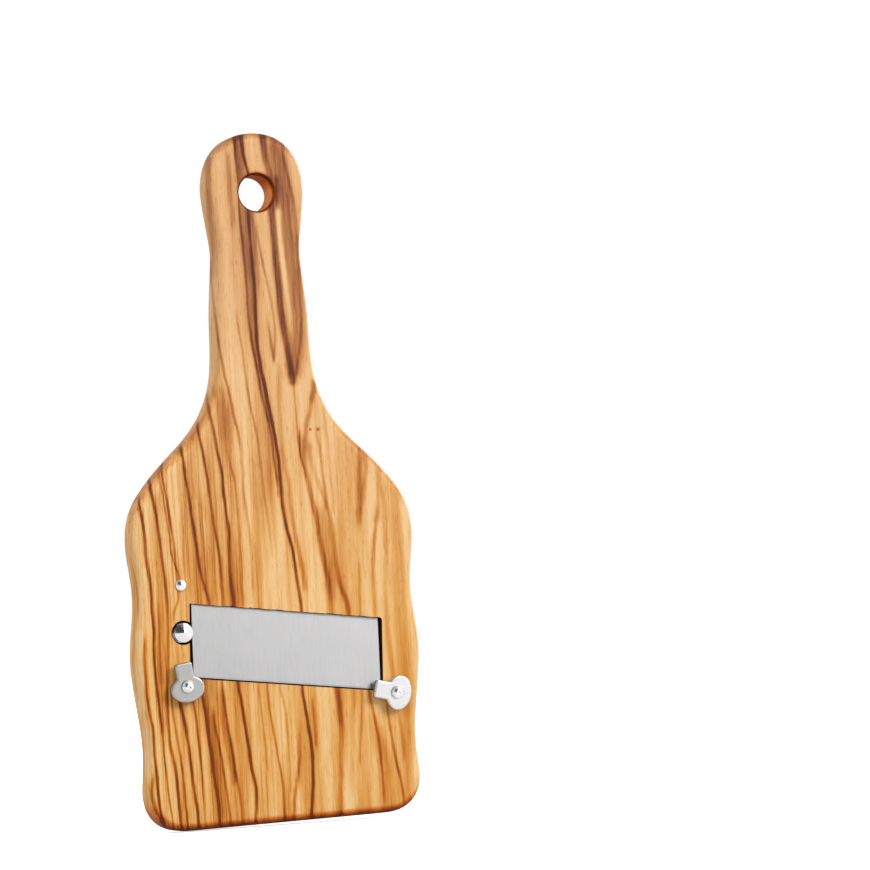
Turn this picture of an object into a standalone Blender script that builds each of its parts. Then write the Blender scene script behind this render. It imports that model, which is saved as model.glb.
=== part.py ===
# Truffle slicer: a wooden paddle with a skewed steel blade, its thickness screw and two swivel clips.
# Metres, +Z up along the handle, front working face towards -Y, origin at the centre of the hanging hole.

import math

import bmesh
import bpy
from mathutils import Matrix, Vector

mm = 0.001

# Fits shared by all pieces
seat_gap = 0.2 * mm
bore_clearance = 0.15 * mm
cut_overrun = 2.0 * mm
round_sides = 32
small_round_sides = 24

# Board
board_length = 229.2 * mm
board_width = 98.8 * mm
board_thickness = 12.0 * mm
board_edge_radius = 3.0 * mm
board_edge_steps = 3
handle_width = 34.0 * mm
handle_end_length = 20.0 * mm
handle_end_roundness = 2.3
foot_corner_size = 13.0 * mm
foot_corner_roundness = 2.3
foot_half_width = 47.6 * mm
foot_tilt_rise = 0.9 * mm
foot_tilt_reach = 22.0 * mm
corner_steps = 7
outline_steps = 3
# Each row: height as a share of the board's length, then half width as shares of half the board's
# width and of half the handle's width, from the lower waist up to the neck under the handle's end.
outline_shares = (
    (0.123, 0.946, 0.0),
    (0.236, 1.0, 0.0),
    (0.332, 0.964, 0.0),
    (0.411, 0.996, 0.0),
    (0.459, 0.955, 0.0),
    (0.498, 0.746, 0.254),
    (0.533, 0.510, 0.490),
    (0.559, 0.320, 0.680),
    (0.590, 0.154, 0.846),
    (0.629, 0.037, 0.963),
    (0.673, 0.0, 0.976),
    (0.738, 0.0, 0.950),
    (0.795, 0.0, 0.887),
    (0.830, 0.0, 0.857),
    (0.869, 0.0, 0.926),
)
hanging_hole_diameter = 12.1 * mm
hanging_hole_rim_radius = 1.45 * mm
hanging_hole_below_end = 20.2 * mm
hanging_hole_rim_steps = 4

# Blade: a flat plate, sides nearly along the board, long edges skewed down to the right
blade_length = 65.1 * mm
blade_height = 24.0 * mm
blade_thickness = 1.4 * mm
blade_skew = math.radians(6.8)
blade_lean = math.radians(2.2)
blade_pitch = math.radians(4.1)
blade_grind_width = 4.0 * mm
blade_edge_land = 0.15 * mm
blade_edge_proud = 0.2 * mm
blade_centre_x = 2.05 * mm
blade_centre_above_foot = 57.7 * mm
blade_rest_raise = 0.5 * mm
blade_raise_travel = 0.5 * mm
blade_lower_travel = 0.7 * mm

# Pocket and throat behind the blade
pocket_left_gap = 0.9 * mm
pocket_right_gap = 1.0 * mm
pocket_top_gap = 0.35 * mm
throat_slit = 0.45 * mm
pocket_floor_gap = 0.3 * mm
throat_lip_depth = 0.8 * mm
throat_ramp_rise = 5.9 * mm
throat_side_ledge = 5.0 * mm
throat_top_ledge = 6.0 * mm
throat_back_ledge = 4.0 * mm
throat_front_depth = 1.5 * mm

# Adjusting screw
adjuster_beside_blade = 3.0 * mm
adjuster_above_blade_centre = 6.6 * mm
screw_head_diameter = 6.4 * mm
screw_cone_height = 1.1 * mm
screw_cone_tip_radius = 0.25 * mm
screw_flange_thickness = 0.6 * mm
screw_groove_diameter = 4.6 * mm
screw_groove_play = 0.25 * mm
screw_diameter = 4.0 * mm
screw_pitch = 0.7 * mm
screw_journal_diameter = 3.0 * mm
screw_end_beyond_nut = 0.6 * mm
screw_hole_diameter = 8.0 * mm

# Bridge on the back and its threaded bush
bridge_width = 10.0 * mm
bridge_thickness = 1.5 * mm
bridge_end_beyond_pin = 4.5 * mm
bridge_edge_radius = 0.35 * mm
bridge_pin_above_adjuster = 15.65 * mm
left_clip_below_adjuster = 17.75 * mm
left_clip_beside_adjuster = 0.45 * mm
bush_flange_diameter = 8.6 * mm
bush_flange_thickness = 1.6 * mm
bush_body_diameter = 6.2 * mm
bush_chamfer = 0.3 * mm

# Bridge pin, a small rivet
pin_head_diameter = 3.9 * mm
pin_head_height = 0.9 * mm
pin_shank_diameter = 2.5 * mm
pin_rear_head_diameter = 4.6 * mm
pin_rear_head_height = 0.8 * mm

# Friction spring, knob washer, knob and lock nut behind the bridge
spring_length = 4.4 * mm
spring_wire_diameter = 0.6 * mm
spring_mean_diameter = 6.0 * mm
spring_turns = 3.5
spring_points_per_turn = 10
knob_washer_diameter = 8.6 * mm
knob_washer_thickness = 0.7 * mm
knob_diameter = 14.0 * mm
knob_height = 6.5 * mm
knob_collar_diameter = 10.0 * mm
knob_collar_height = 1.5 * mm
knob_chamfer = 0.6 * mm
knob_flutes = 20
knob_flute_depth = 0.7 * mm
knob_points_per_flute = 4
nut_across_flats = 5.5 * mm
nut_height = 2.4 * mm
nut_chamfer = 0.35 * mm

# Swivel clips, their rivets and washers
clip_head_across = 11.6 * mm
clip_head_along = 8.8 * mm
clip_head_offset = 0.7 * mm
clip_tab_width = 6.0 * mm
clip_tab_reach = 8.0 * mm
clip_tab_corner_radius = 1.0 * mm
clip_neck_radius = 0.8 * mm
clip_thickness = 2.1 * mm
clip_edge_radius = 0.6 * mm
clip_edge_steps = 2
clip_head_steps = 26
clip_corner_steps = 3
left_clip_rest_angle = math.radians(98.5)
right_clip_rest_angle = math.radians(167.0)
right_clip_beyond_corner = 4.7 * mm
right_clip_below_corner = 1.2 * mm
clip_washer_height = 1.0 * mm
clip_washer_diameter = 6.4 * mm
clip_washer_sheet = 0.35 * mm
clip_washer_waves = 3
clip_washer_steps = 36
pivot_diameter = 3.0 * mm
pivot_head_diameter = 4.4 * mm
pivot_head_height = 1.4 * mm
pivot_dimple_radius = 0.6 * mm
pivot_dimple_depth = 0.25 * mm
pivot_rear_head_diameter = 5.4 * mm
pivot_rear_head_height = 1.0 * mm
rear_washer_diameter = 8.0 * mm
rear_washer_thickness = 0.8 * mm
dome_steps = 5

# Places worked out from the sizes
front = -board_thickness / 2
back = board_thickness / 2
foot_z = hanging_hole_below_end - board_length
skew_slope = math.tan(blade_skew)
lean_slope = math.tan(blade_lean)
pitch_slope = math.tan(blade_pitch)
half_blade = blade_length / 2
half_height = blade_height / 2
blade_z = foot_z + blade_centre_above_foot
hinge_x = blade_centre_x + half_blade
blade_back_at_centre = front - blade_edge_proud + half_height * pitch_slope + blade_thickness
adjuster_x = blade_centre_x - half_blade - adjuster_beside_blade
adjuster_z = blade_z + adjuster_above_blade_centre
adjuster_arm = hinge_x - adjuster_x - screw_groove_diameter / 2
rest_tilt = blade_rest_raise / adjuster_arm
lowest_tilt = (blade_rest_raise - blade_lower_travel) / adjuster_arm
pin_z = adjuster_z + bridge_pin_above_adjuster
left_clip_x = adjuster_x - left_clip_beside_adjuster
left_clip_z = adjuster_z - left_clip_below_adjuster
right_clip_x = hinge_x - half_height * lean_slope + right_clip_beyond_corner
right_clip_z = blade_z - half_height - half_blade * skew_slope - right_clip_below_corner
clip_washer_y = front - seat_gap - clip_washer_height
clip_back_y = clip_washer_y - seat_gap
pivot_head_y = clip_back_y - clip_thickness - seat_gap
bridge_y = back + seat_gap
bridge_back_y = bridge_y + bridge_thickness
bush_y = bridge_back_y + seat_gap
bush_back_y = bush_y + bush_flange_thickness
spring_y = bush_back_y + seat_gap
knob_washer_y = spring_y + spring_length + seat_gap
knob_y = knob_washer_y + knob_washer_thickness + seat_gap
knob_back_y = knob_y + knob_height
nut_y = knob_back_y + seat_gap
rear_washer_y = back + seat_gap


# Materials, one for each piece
def material(name, colour, metallic, roughness):
    finish = bpy.data.materials.new(name)
    finish.use_nodes = True
    shader = finish.node_tree.nodes["Principled BSDF"]
    shader.inputs["Base Color"].default_value = (*colour, 1.0)
    shader.inputs["Metallic"].default_value = metallic
    shader.inputs["Roughness"].default_value = roughness
    finish.diffuse_color = (*colour, 1.0)
    return finish


def olive_wood(name):
    return material(name, (0.72, 0.42, 0.16), 0.0, 0.5)


def brushed_steel(name):
    return material(name, (0.58, 0.58, 0.59), 1.0, 0.35)


def polished_steel(name):
    return material(name, (0.78, 0.78, 0.79), 1.0, 0.15)


def brass(name):
    return material(name, (0.75, 0.58, 0.3), 1.0, 0.3)


# Objects from meshes
def add_object(name, mesh, finish=None, place=(0, 0, 0), smooth_angle=math.radians(35)):
    mesh.shade_smooth()
    mesh.set_sharp_from_angle(angle=smooth_angle)
    piece = bpy.data.objects.new(name, mesh)
    piece.location = place
    bpy.context.scene.collection.objects.link(piece)
    if finish:
        mesh.materials.append(finish)
    else:
        piece.hide_render = True
        piece.display_type = "WIRE"
    return piece


def mesh_from(name, points, faces):
    mesh = bpy.data.meshes.new(name)
    mesh.from_pydata(points, [], faces)
    shape = bmesh.new()
    shape.from_mesh(mesh)
    bmesh.ops.recalc_face_normals(shape, faces=shape.faces)
    shape.to_mesh(mesh)
    shape.free()
    return mesh


# Cuts one piece with others, in order
def cut(piece, cutters):
    for cutter in cutters:
        step = piece.modifiers.new(cutter.name, "BOOLEAN")
        step.operation = "DIFFERENCE"
        step.solver = "EXACT"
        step.object = cutter


# A turned mesh about Y: the profile's points are (radius, y), front to back. A closed profile is a ring.
def turned_mesh(name, profile, sides=small_round_sides, ring=False):
    points = []
    loops = []
    for radius, y in profile:
        if radius == 0:
            loops.append([len(points)] * sides)
            points.append((0, y, 0))
            continue
        loops.append([len(points) + side for side in range(sides)])
        for side in range(sides):
            angle = math.tau * side / sides
            points.append((radius * math.cos(angle), y, radius * math.sin(angle)))
    pairs = list(zip(loops, loops[1:]))
    if ring:
        pairs.append((loops[-1], loops[0]))
    faces = []
    for one, two in pairs:
        for side in range(sides):
            after = (side + 1) % sides
            corners = [one[side], one[after], two[after], two[side]]
            faces.append(list(dict.fromkeys(corners)))
    return mesh_from(name, points, faces)


# Quarter of a dome from its crown at the front to its rim, as (radius, y)
def dome_profile(radius, height, rim_y):
    profile = []
    for step in range(dome_steps + 1):
        angle = math.pi / 2 * step / dome_steps
        profile.append((radius * math.sin(angle), rim_y - height * math.cos(angle)))
    return profile


def drill(name, diameter, x, z, start_y, end_y, sides=small_round_sides):
    radius = diameter / 2
    profile = [(0, start_y), (radius, start_y), (radius, end_y), (0, end_y)]
    return add_object(name, turned_mesh(name, profile, sides), place=(x, 0, z))


def through_drill(name, diameter, x, z):
    return drill(name, diameter, x, z, front - cut_overrun, back + cut_overrun)


# A flat outline in X and Z, thickened from start_y to end_y, with its rims rounded
def plate_mesh(name, outline, start_y, end_y, rim_radius, rim_steps, round_both=True):
    shape = bmesh.new()
    corners = [shape.verts.new((x, start_y, z)) for x, z in outline]
    face = shape.faces.new(corners)
    grown = bmesh.ops.extrude_face_region(shape, geom=[face])
    moved = [item for item in grown["geom"] if isinstance(item, bmesh.types.BMVert)]
    bmesh.ops.translate(shape, verts=moved, vec=Vector((0, end_y - start_y, 0)))
    bmesh.ops.recalc_face_normals(shape, faces=shape.faces)
    halfway = (start_y + end_y) / 2
    rims = []
    for edge in shape.edges:
        ys = [corner.co.y for corner in edge.verts]
        is_front = max(ys) < halfway
        is_back = min(ys) > halfway
        if is_front or (is_back and round_both):
            rims.append(edge)
    bmesh.ops.bevel(
        shape,
        geom=rims,
        offset=rim_radius,
        segments=rim_steps,
        profile=0.5,
        affect="EDGES",
        clamp_overlap=True,
    )
    mesh = bpy.data.meshes.new(name)
    shape.to_mesh(mesh)
    shape.free()
    return mesh


# Quarter of a rounded corner between two straight reaches, both ends included
def superellipse_quarter(reach_x, reach_z, roundness, steps):
    points = []
    for step in range(steps + 1):
        angle = math.pi / 2 * step / steps
        x = reach_x * math.cos(angle) ** (2 / roundness)
        z = reach_z * math.sin(angle) ** (2 / roundness)
        points.append((x, z))
    return points


# Smooth curve through the points, each span cut into equal steps
def smooth_curve(points, steps):
    ends = [points[0], *points, points[-1]]
    curve = []
    for before, start, end, after in zip(ends, ends[1:], ends[2:], ends[3:]):
        for step in range(steps):
            t = step / steps
            pair = []
            for a, b, c, d in zip(before, start, end, after):
                bend = (c - a) * t + (2 * a - 5 * b + 4 * c - d) * t**2 + (3 * b - a - 3 * c + d) * t**3
                pair.append(b + bend / 2)
            curve.append(tuple(pair))
    curve.append(points[-1])
    return curve


# Board outline
# Right half of the board's outline as (half width, height above the foot), foot corner to handle end
def right_outline():
    corner = superellipse_quarter(foot_corner_size, foot_corner_size, foot_corner_roundness, corner_steps)
    flat_width = foot_half_width - foot_corner_size
    foot = [(flat_width + x, foot_corner_size - z) for x, z in reversed(corner)]
    end_start = board_length - handle_end_length
    end = superellipse_quarter(handle_width / 2, handle_end_length, handle_end_roundness, corner_steps + 2)
    cap = [(x, end_start + z) for x, z in end]
    side = [foot[-1]]
    for height_share, body_share, handle_share in outline_shares:
        half_width = (body_share * board_width + handle_share * handle_width) / 2
        side.append((half_width, height_share * board_length))
    side.append(cap[0])
    return foot[:-1] + smooth_curve(side, outline_steps) + cap[1:]


def board_outline():
    right = right_outline()
    whole = [(x, z) for x, z in right]
    whole += [(-x, z) for x, z in reversed(right[:-1])]
    outline = []
    for x, height in whole:
        fade = max(0.0, 1 - height / foot_tilt_reach)
        lift = foot_tilt_rise * x / foot_half_width * fade
        outline.append((x, foot_z + height + lift))
    return outline


# Board
def hanging_hole_cutter():
    radius = hanging_hole_diameter / 2
    rim = hanging_hole_rim_radius
    half = []
    for step in range(hanging_hole_rim_steps + 1):
        angle = math.pi / 2 * step / hanging_hole_rim_steps
        half.append((radius + rim * (1 - math.sin(angle)), back - rim * (1 - math.cos(angle))))
    mouth = [(0, back + cut_overrun), (radius + rim, back + cut_overrun)]
    rear = mouth + half
    profile = [(r, -y) for r, y in rear] + list(reversed(rear))
    mesh = turned_mesh("hanging_hole_cutter", profile, round_sides)
    return add_object("hanging_hole_cutter", mesh)


# A prism whose (z, y) profile runs along the blade: skewed down to the right, its ends leaning.
# Points are about the blade's centre in X and Z, with y straight from the board.
def blade_prism_mesh(name, profile, left, right):
    points = []
    for x in (left, right):
        for z, y in profile:
            points.append((x + lean_slope * z, y, z - skew_slope * x))
    count = len(profile)
    faces = [list(range(count)), list(range(2 * count - 1, count - 1, -1))]
    for here in range(count):
        after = (here + 1) % count
        faces.append([here, count + here, count + after, after])
    mesh = mesh_from(name, points, faces)
    mesh.transform(Matrix.Translation((-half_blade, -blade_back_at_centre, 0)))
    return mesh


# Depth of the level blade's back face at a height from the blade's centre line
def blade_back_y(z):
    return blade_back_at_centre + z * pitch_slope


def pocket_cutter():
    low = -half_height - throat_slit
    high = half_height + pocket_top_gap
    outside = front - cut_overrun
    profile = [
        (low, outside),
        (low, blade_back_y(low) + pocket_floor_gap),
        (high, blade_back_y(high) + pocket_floor_gap),
        (high, outside),
    ]
    left = -half_blade - pocket_left_gap
    right = half_blade + pocket_right_gap
    mesh = blade_prism_mesh("pocket_cutter", profile, left, right)
    cutter = add_object("pocket_cutter", mesh, place=(hinge_x, blade_back_at_centre, blade_z))
    cutter.rotation_euler = (0, 0, lowest_tilt)
    return cutter


def throat_cutter():
    low = -half_height - throat_slit
    beyond = (board_thickness + cut_overrun) / board_thickness
    profile = [
        (low, front + throat_lip_depth),
        (low + throat_ramp_rise * beyond, back + cut_overrun),
        (half_height - throat_back_ledge, back + cut_overrun),
        (half_height - throat_top_ledge, front + throat_front_depth),
    ]
    left = -half_blade + throat_side_ledge
    right = half_blade - throat_side_ledge
    mesh = blade_prism_mesh("throat_cutter", profile, left, right)
    return add_object("throat_cutter", mesh, place=(hinge_x, blade_back_at_centre, blade_z))


def screw_hole_cutter():
    deepest = screw_rear_flange_y + screw_flange_thickness + blade_lower_travel + seat_gap
    return drill(
        "screw_hole_cutter",
        screw_hole_diameter,
        adjuster_x,
        adjuster_z,
        front - cut_overrun,
        deepest,
        round_sides,
    )


def make_board():
    mesh = plate_mesh("board", board_outline(), front, back, board_edge_radius, board_edge_steps)
    board = add_object("board", mesh, olive_wood("board_wood"))
    pin_bore = pin_shank_diameter + 2 * bore_clearance
    pivot_bore = pivot_diameter + 2 * bore_clearance
    screw_bore = screw_diameter + 2 * bore_clearance
    cutters = [
        hanging_hole_cutter(),
        pocket_cutter(),
        throat_cutter(),
        screw_hole_cutter(),
        through_drill("screw_bore_cutter", screw_bore, adjuster_x, adjuster_z),
        through_drill("pin_bore_cutter", pin_bore, adjuster_x, pin_z),
        through_drill("left_pivot_bore_cutter", pivot_bore, left_clip_x, left_clip_z),
        through_drill("right_pivot_bore_cutter", pivot_bore, right_clip_x, right_clip_z),
    ]
    cut(board, cutters)


# Blade
def make_blade():
    low = -half_height
    high = half_height
    ground = low + blade_grind_width
    profile = [
        (low, blade_back_y(low) - blade_thickness),
        (low, blade_back_y(low) - blade_thickness + blade_edge_land),
        (ground, blade_back_y(ground)),
        (high, blade_back_y(high)),
        (high, blade_back_y(high) - blade_thickness),
    ]
    mesh = blade_prism_mesh("blade", profile, -half_blade, half_blade)
    place = (hinge_x, blade_back_at_centre, blade_z)
    blade = add_object("blade", mesh, brushed_steel("blade_steel"), place)
    blade.rotation_euler = (0, 0, rest_tilt)


# Adjusting screw: the groove behind its cone holds the blade's left edge
adjuster_on_blade = adjuster_above_blade_centre - half_blade * skew_slope
blade_back_at_screw = blade_back_y(adjuster_on_blade) - blade_rest_raise
screw_groove_y = blade_back_at_screw - blade_thickness - screw_groove_play
screw_rear_flange_y = blade_back_at_screw + screw_groove_play
screw_end_y = nut_y + nut_height + screw_end_beyond_nut


def make_adjusting_screw():
    head = screw_head_diameter / 2
    neck = screw_groove_diameter / 2
    shank = screw_diameter / 2
    journal = screw_journal_diameter / 2
    flange_y = screw_groove_y - screw_flange_thickness
    shoulder_y = knob_y - seat_gap
    profile = [
        (0, flange_y - screw_cone_height),
        (screw_cone_tip_radius, flange_y - screw_cone_height),
        (head, flange_y),
        (head, screw_groove_y),
        (neck, screw_groove_y),
        (neck, screw_rear_flange_y),
        (head, screw_rear_flange_y),
        (head, screw_rear_flange_y + screw_flange_thickness),
        (shank, screw_rear_flange_y + screw_flange_thickness),
        (shank, shoulder_y),
        (journal, shoulder_y),
        (journal, screw_end_y),
        (0, screw_end_y),
    ]
    mesh = turned_mesh("adjusting_screw", profile, round_sides)
    add_object("adjusting_screw", mesh, polished_steel("screw_steel"), (adjuster_x, 0, adjuster_z))


# Bridge
def bridge_outline(low, high):
    half = bridge_width / 2
    points = []
    for centre, start in ((high - half, 0), (low + half, math.pi)):
        for step in range(round_sides // 2 + 1):
            angle = start + math.tau * step / round_sides
            points.append((half * math.cos(angle), centre + half * math.sin(angle)))
    return points


def make_nut_bridge():
    low = -left_clip_below_adjuster - bridge_end_beyond_pin
    high = bridge_pin_above_adjuster + bridge_end_beyond_pin
    outline = bridge_outline(low, high)
    mesh = plate_mesh("nut_bridge", outline, bridge_y, bridge_back_y, bridge_edge_radius, 2)
    bridge = add_object("nut_bridge", mesh, brushed_steel("bridge_steel"), (adjuster_x, 0, adjuster_z))
    bush_bore = bush_body_diameter + 2 * bore_clearance
    pin_bore = pin_shank_diameter + 2 * bore_clearance
    pivot_bore = pivot_diameter + 2 * bore_clearance
    behind = bridge_back_y + cut_overrun
    cutters = [
        drill("bridge_bush_cutter", bush_bore, adjuster_x, adjuster_z, back - cut_overrun, behind),
        drill("bridge_pin_cutter", pin_bore, adjuster_x, pin_z, back - cut_overrun, behind),
        drill("bridge_pivot_cutter", pivot_bore, left_clip_x, left_clip_z, back - cut_overrun, behind),
    ]
    cut(bridge, cutters)


def make_threaded_bush():
    bore = screw_diameter / 2 + bore_clearance
    body = bush_body_diameter / 2
    flange = bush_flange_diameter / 2
    profile = [
        (bore, bridge_y),
        (body, bridge_y),
        (body, bush_y),
        (flange, bush_y),
        (flange, bush_back_y - bush_chamfer),
        (flange - bush_chamfer, bush_back_y),
        (bore, bush_back_y),
    ]
    mesh = turned_mesh("threaded_bush", profile, small_round_sides, ring=True)
    add_object("threaded_bush", mesh, brass("bush_brass"), (adjuster_x, 0, adjuster_z))


# A rivet: domed front head, shank through the board, flat rear head with a chamfer
def rivet_profile(head, head_height, head_y, shank, rear_head, rear_height, rear_y, dimple=0):
    profile = dome_profile(head, head_height, head_y)
    if dimple:
        crown_y = profile[0][1]
        profile[0] = (0, crown_y + pivot_dimple_depth)
        profile.insert(1, (dimple, crown_y + pivot_dimple_depth / 3))
    profile += [
        (shank, head_y),
        (shank, rear_y),
        (rear_head, rear_y),
        (rear_head, rear_y + rear_height / 2),
        (rear_head - rear_height / 2, rear_y + rear_height),
        (0, rear_y + rear_height),
    ]
    return profile


def make_bridge_pin():
    profile = rivet_profile(
        pin_head_diameter / 2,
        pin_head_height,
        front - seat_gap,
        pin_shank_diameter / 2,
        pin_rear_head_diameter / 2,
        pin_rear_head_height,
        bridge_back_y + seat_gap,
    )
    mesh = turned_mesh("bridge_pin", profile)
    add_object("bridge_pin", mesh, polished_steel("pin_steel"), (adjuster_x, 0, pin_z))


def make_clip_pivot(name, x, z, rear_y):
    profile = rivet_profile(
        pivot_head_diameter / 2,
        pivot_head_height,
        pivot_head_y,
        pivot_diameter / 2,
        pivot_rear_head_diameter / 2,
        pivot_rear_head_height,
        rear_y,
        pivot_dimple_radius,
    )
    mesh = turned_mesh(name, profile)
    add_object(name, mesh, polished_steel(name + "_steel"), (x, 0, z))


# Spring, washer, knob and nut
def make_friction_spring():
    wire = spring_wire_diameter / 2
    radius = spring_mean_diameter / 2
    rise = spring_length - spring_wire_diameter
    count = round(spring_turns * spring_points_per_turn)
    points = []
    for step in range(count + 1):
        angle = math.tau * spring_turns * step / count
        y = spring_y + wire + rise * step / count
        points.append(Vector((radius * math.cos(angle), y, radius * math.sin(angle))))
    gaps = []
    for here, point in enumerate(points):
        for other in points[here + spring_points_per_turn // 2 :]:
            gaps.append((other - point).length - spring_wire_diameter)
    print(f"friction_spring: least gap between turns {min(gaps) / mm:.2f} mm")
    curve = bpy.data.curves.new("friction_spring", "CURVE")
    curve.dimensions = "3D"
    curve.bevel_depth = wire
    curve.bevel_resolution = 1
    curve.use_fill_caps = True
    line = curve.splines.new("POLY")
    line.points.add(len(points) - 1)
    for slot, point in zip(line.points, points):
        slot.co = (*point, 1)
    curve.materials.append(polished_steel("spring_steel"))
    spring = bpy.data.objects.new("friction_spring", curve)
    spring.location = (adjuster_x, 0, adjuster_z)
    bpy.context.scene.collection.objects.link(spring)


def ring_mesh(name, bore, rim, start_y, end_y):
    profile = [(bore, start_y), (rim, start_y), (rim, end_y), (bore, end_y)]
    return turned_mesh(name, profile, small_round_sides, ring=True)


def make_knob_washer():
    bore = screw_diameter / 2 + bore_clearance
    rim = knob_washer_diameter / 2
    end_y = knob_washer_y + knob_washer_thickness
    mesh = ring_mesh("knob_washer", bore, rim, knob_washer_y, end_y)
    add_object("knob_washer", mesh, brushed_steel("washer_steel"), (adjuster_x, 0, adjuster_z))


# The knob's rows run front to back; flutes fade out where flute_share is 0
def make_adjusting_knob():
    rim = knob_diameter / 2
    bore = screw_journal_diameter / 2 + bore_clearance
    collar_back_y = knob_y + knob_collar_height
    rows = [
        (bore, knob_y, 0),
        (knob_collar_diameter / 2, knob_y, 0),
        (knob_collar_diameter / 2, collar_back_y, 0),
        (rim - knob_chamfer, collar_back_y, 1),
        (rim, collar_back_y + knob_chamfer, 1),
        (rim, knob_back_y - knob_chamfer, 1),
        (rim - knob_chamfer, knob_back_y, 1),
        (bore, knob_back_y, 0),
    ]
    sides = knob_flutes * knob_points_per_flute
    points = []
    for radius, y, flute_share in rows:
        for side in range(sides):
            angle = math.tau * side / sides
            wave = (1 - math.cos(knob_flutes * angle)) / 2
            local = radius - flute_share * knob_flute_depth * wave
            points.append((local * math.cos(angle), y, local * math.sin(angle)))
    faces = []
    for row in range(len(rows)):
        here = row * sides
        there = (row + 1) % len(rows) * sides
        for side in range(sides):
            after = (side + 1) % sides
            faces.append([here + side, here + after, there + after, there + side])
    mesh = mesh_from("adjusting_knob", points, faces)
    add_object("adjusting_knob", mesh, polished_steel("knob_steel"), (adjuster_x, 0, adjuster_z))


def make_knob_lock_nut():
    corner = nut_across_flats / 2 / math.cos(math.pi / 6)
    end_y = nut_y + nut_height
    profile = [
        (0, nut_y),
        (corner, nut_y),
        (corner, end_y - nut_chamfer),
        (corner - nut_chamfer, end_y),
        (0, end_y),
    ]
    mesh = turned_mesh("knob_lock_nut", profile, 6)
    place = (adjuster_x, 0, adjuster_z)
    nut = add_object("knob_lock_nut", mesh, polished_steel("nut_steel"), place)
    bore = screw_journal_diameter + 2 * bore_clearance
    cutter = drill(
        "nut_bore_cutter", bore, adjuster_x, adjuster_z, nut_y - cut_overrun, end_y + cut_overrun
    )
    cut(nut, [cutter])


# Points on an arc from one angle to another, both ends included
def arc_points(centre_x, centre_z, radius, start, end, steps):
    points = []
    for step in range(steps + 1):
        angle = start + (end - start) * step / steps
        points.append((centre_x + radius * math.cos(angle), centre_z + radius * math.sin(angle)))
    return points


# Clips: an oval head across the pivot with a tab along +X and rounded necks, then turned to the rest angle
def clip_outline():
    across = clip_head_across / 2
    along = clip_head_along / 2
    half_tab = clip_tab_width / 2
    neck = clip_neck_radius
    neck_z = half_tab + neck
    neck_share = neck_z / (across + neck)
    neck_reach = (along + neck) * math.sqrt(1 - neck_share**2)
    neck_x = neck_reach - clip_head_offset
    facing = math.atan2(neck_z / (across + neck) ** 2, neck_reach / (along + neck) ** 2)
    touch_reach = neck_reach - neck * math.cos(facing)
    touch_z = neck_z - neck * math.sin(facing)
    start = math.atan2(touch_z / across, touch_reach / along)
    points = []
    for step in range(clip_head_steps + 1):
        angle = start + (math.tau - 2 * start) * step / clip_head_steps
        points.append((along * math.cos(angle) - clip_head_offset, across * math.sin(angle)))
    steps = clip_corner_steps
    corner = clip_tab_corner_radius
    corner_x = clip_tab_reach - corner
    corner_z = half_tab - corner
    points += arc_points(neck_x, -neck_z, neck, math.pi - facing, math.pi / 2, steps)[1:]
    points += arc_points(corner_x, -corner_z, corner, -math.pi / 2, 0, steps)
    points += arc_points(corner_x, corner_z, corner, 0, math.pi / 2, steps)
    points += arc_points(neck_x, neck_z, neck, -math.pi / 2, facing - math.pi, steps)[:-1]
    return points


def make_clip(name, x, z, rest_angle):
    clip_front_y = clip_back_y - clip_thickness
    outline = clip_outline()
    mesh = plate_mesh(name, outline, clip_front_y, clip_back_y, clip_edge_radius, clip_edge_steps)
    clip = add_object(name, mesh, brushed_steel(name + "_steel"), (x, 0, z))
    clip.rotation_euler = (0, -rest_angle, 0)
    bore = pivot_diameter + 2 * bore_clearance
    cutter = drill(
        name + "_bore_cutter", bore, x, z, clip_front_y - cut_overrun, clip_back_y + cut_overrun
    )
    cut(clip, [cutter])


# A sprung washer waved round its ring
def make_clip_washer(name, x, z):
    bore = pivot_diameter / 2 + bore_clearance
    rim = clip_washer_diameter / 2
    rise = clip_washer_height - clip_washer_sheet
    section = [(bore, 0), (rim, 0), (rim, clip_washer_sheet), (bore, clip_washer_sheet)]
    points = []
    for step in range(clip_washer_steps):
        angle = math.tau * step / clip_washer_steps
        lift = rise * (1 + math.cos(clip_washer_waves * angle)) / 2
        for radius, y in section:
            points.append((radius * math.cos(angle), clip_washer_y + lift + y, radius * math.sin(angle)))
    faces = []
    count = len(section)
    for step in range(clip_washer_steps):
        here = step * count
        there = (step + 1) % clip_washer_steps * count
        for corner in range(count):
            after = (corner + 1) % count
            faces.append([here + corner, here + after, there + after, there + corner])
    mesh = mesh_from(name, points, faces)
    add_object(name, mesh, polished_steel(name + "_steel"), (x, 0, z))


def make_rear_washer(name, x, z):
    bore = pivot_diameter / 2 + bore_clearance
    end_y = rear_washer_y + rear_washer_thickness
    mesh = ring_mesh(name, bore, rear_washer_diameter / 2, rear_washer_y, end_y)
    add_object(name, mesh, brushed_steel(name + "_steel"), (x, 0, z))


def clear_scene():
    for piece in list(bpy.data.objects):
        bpy.data.objects.remove(piece, do_unlink=True)


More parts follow.
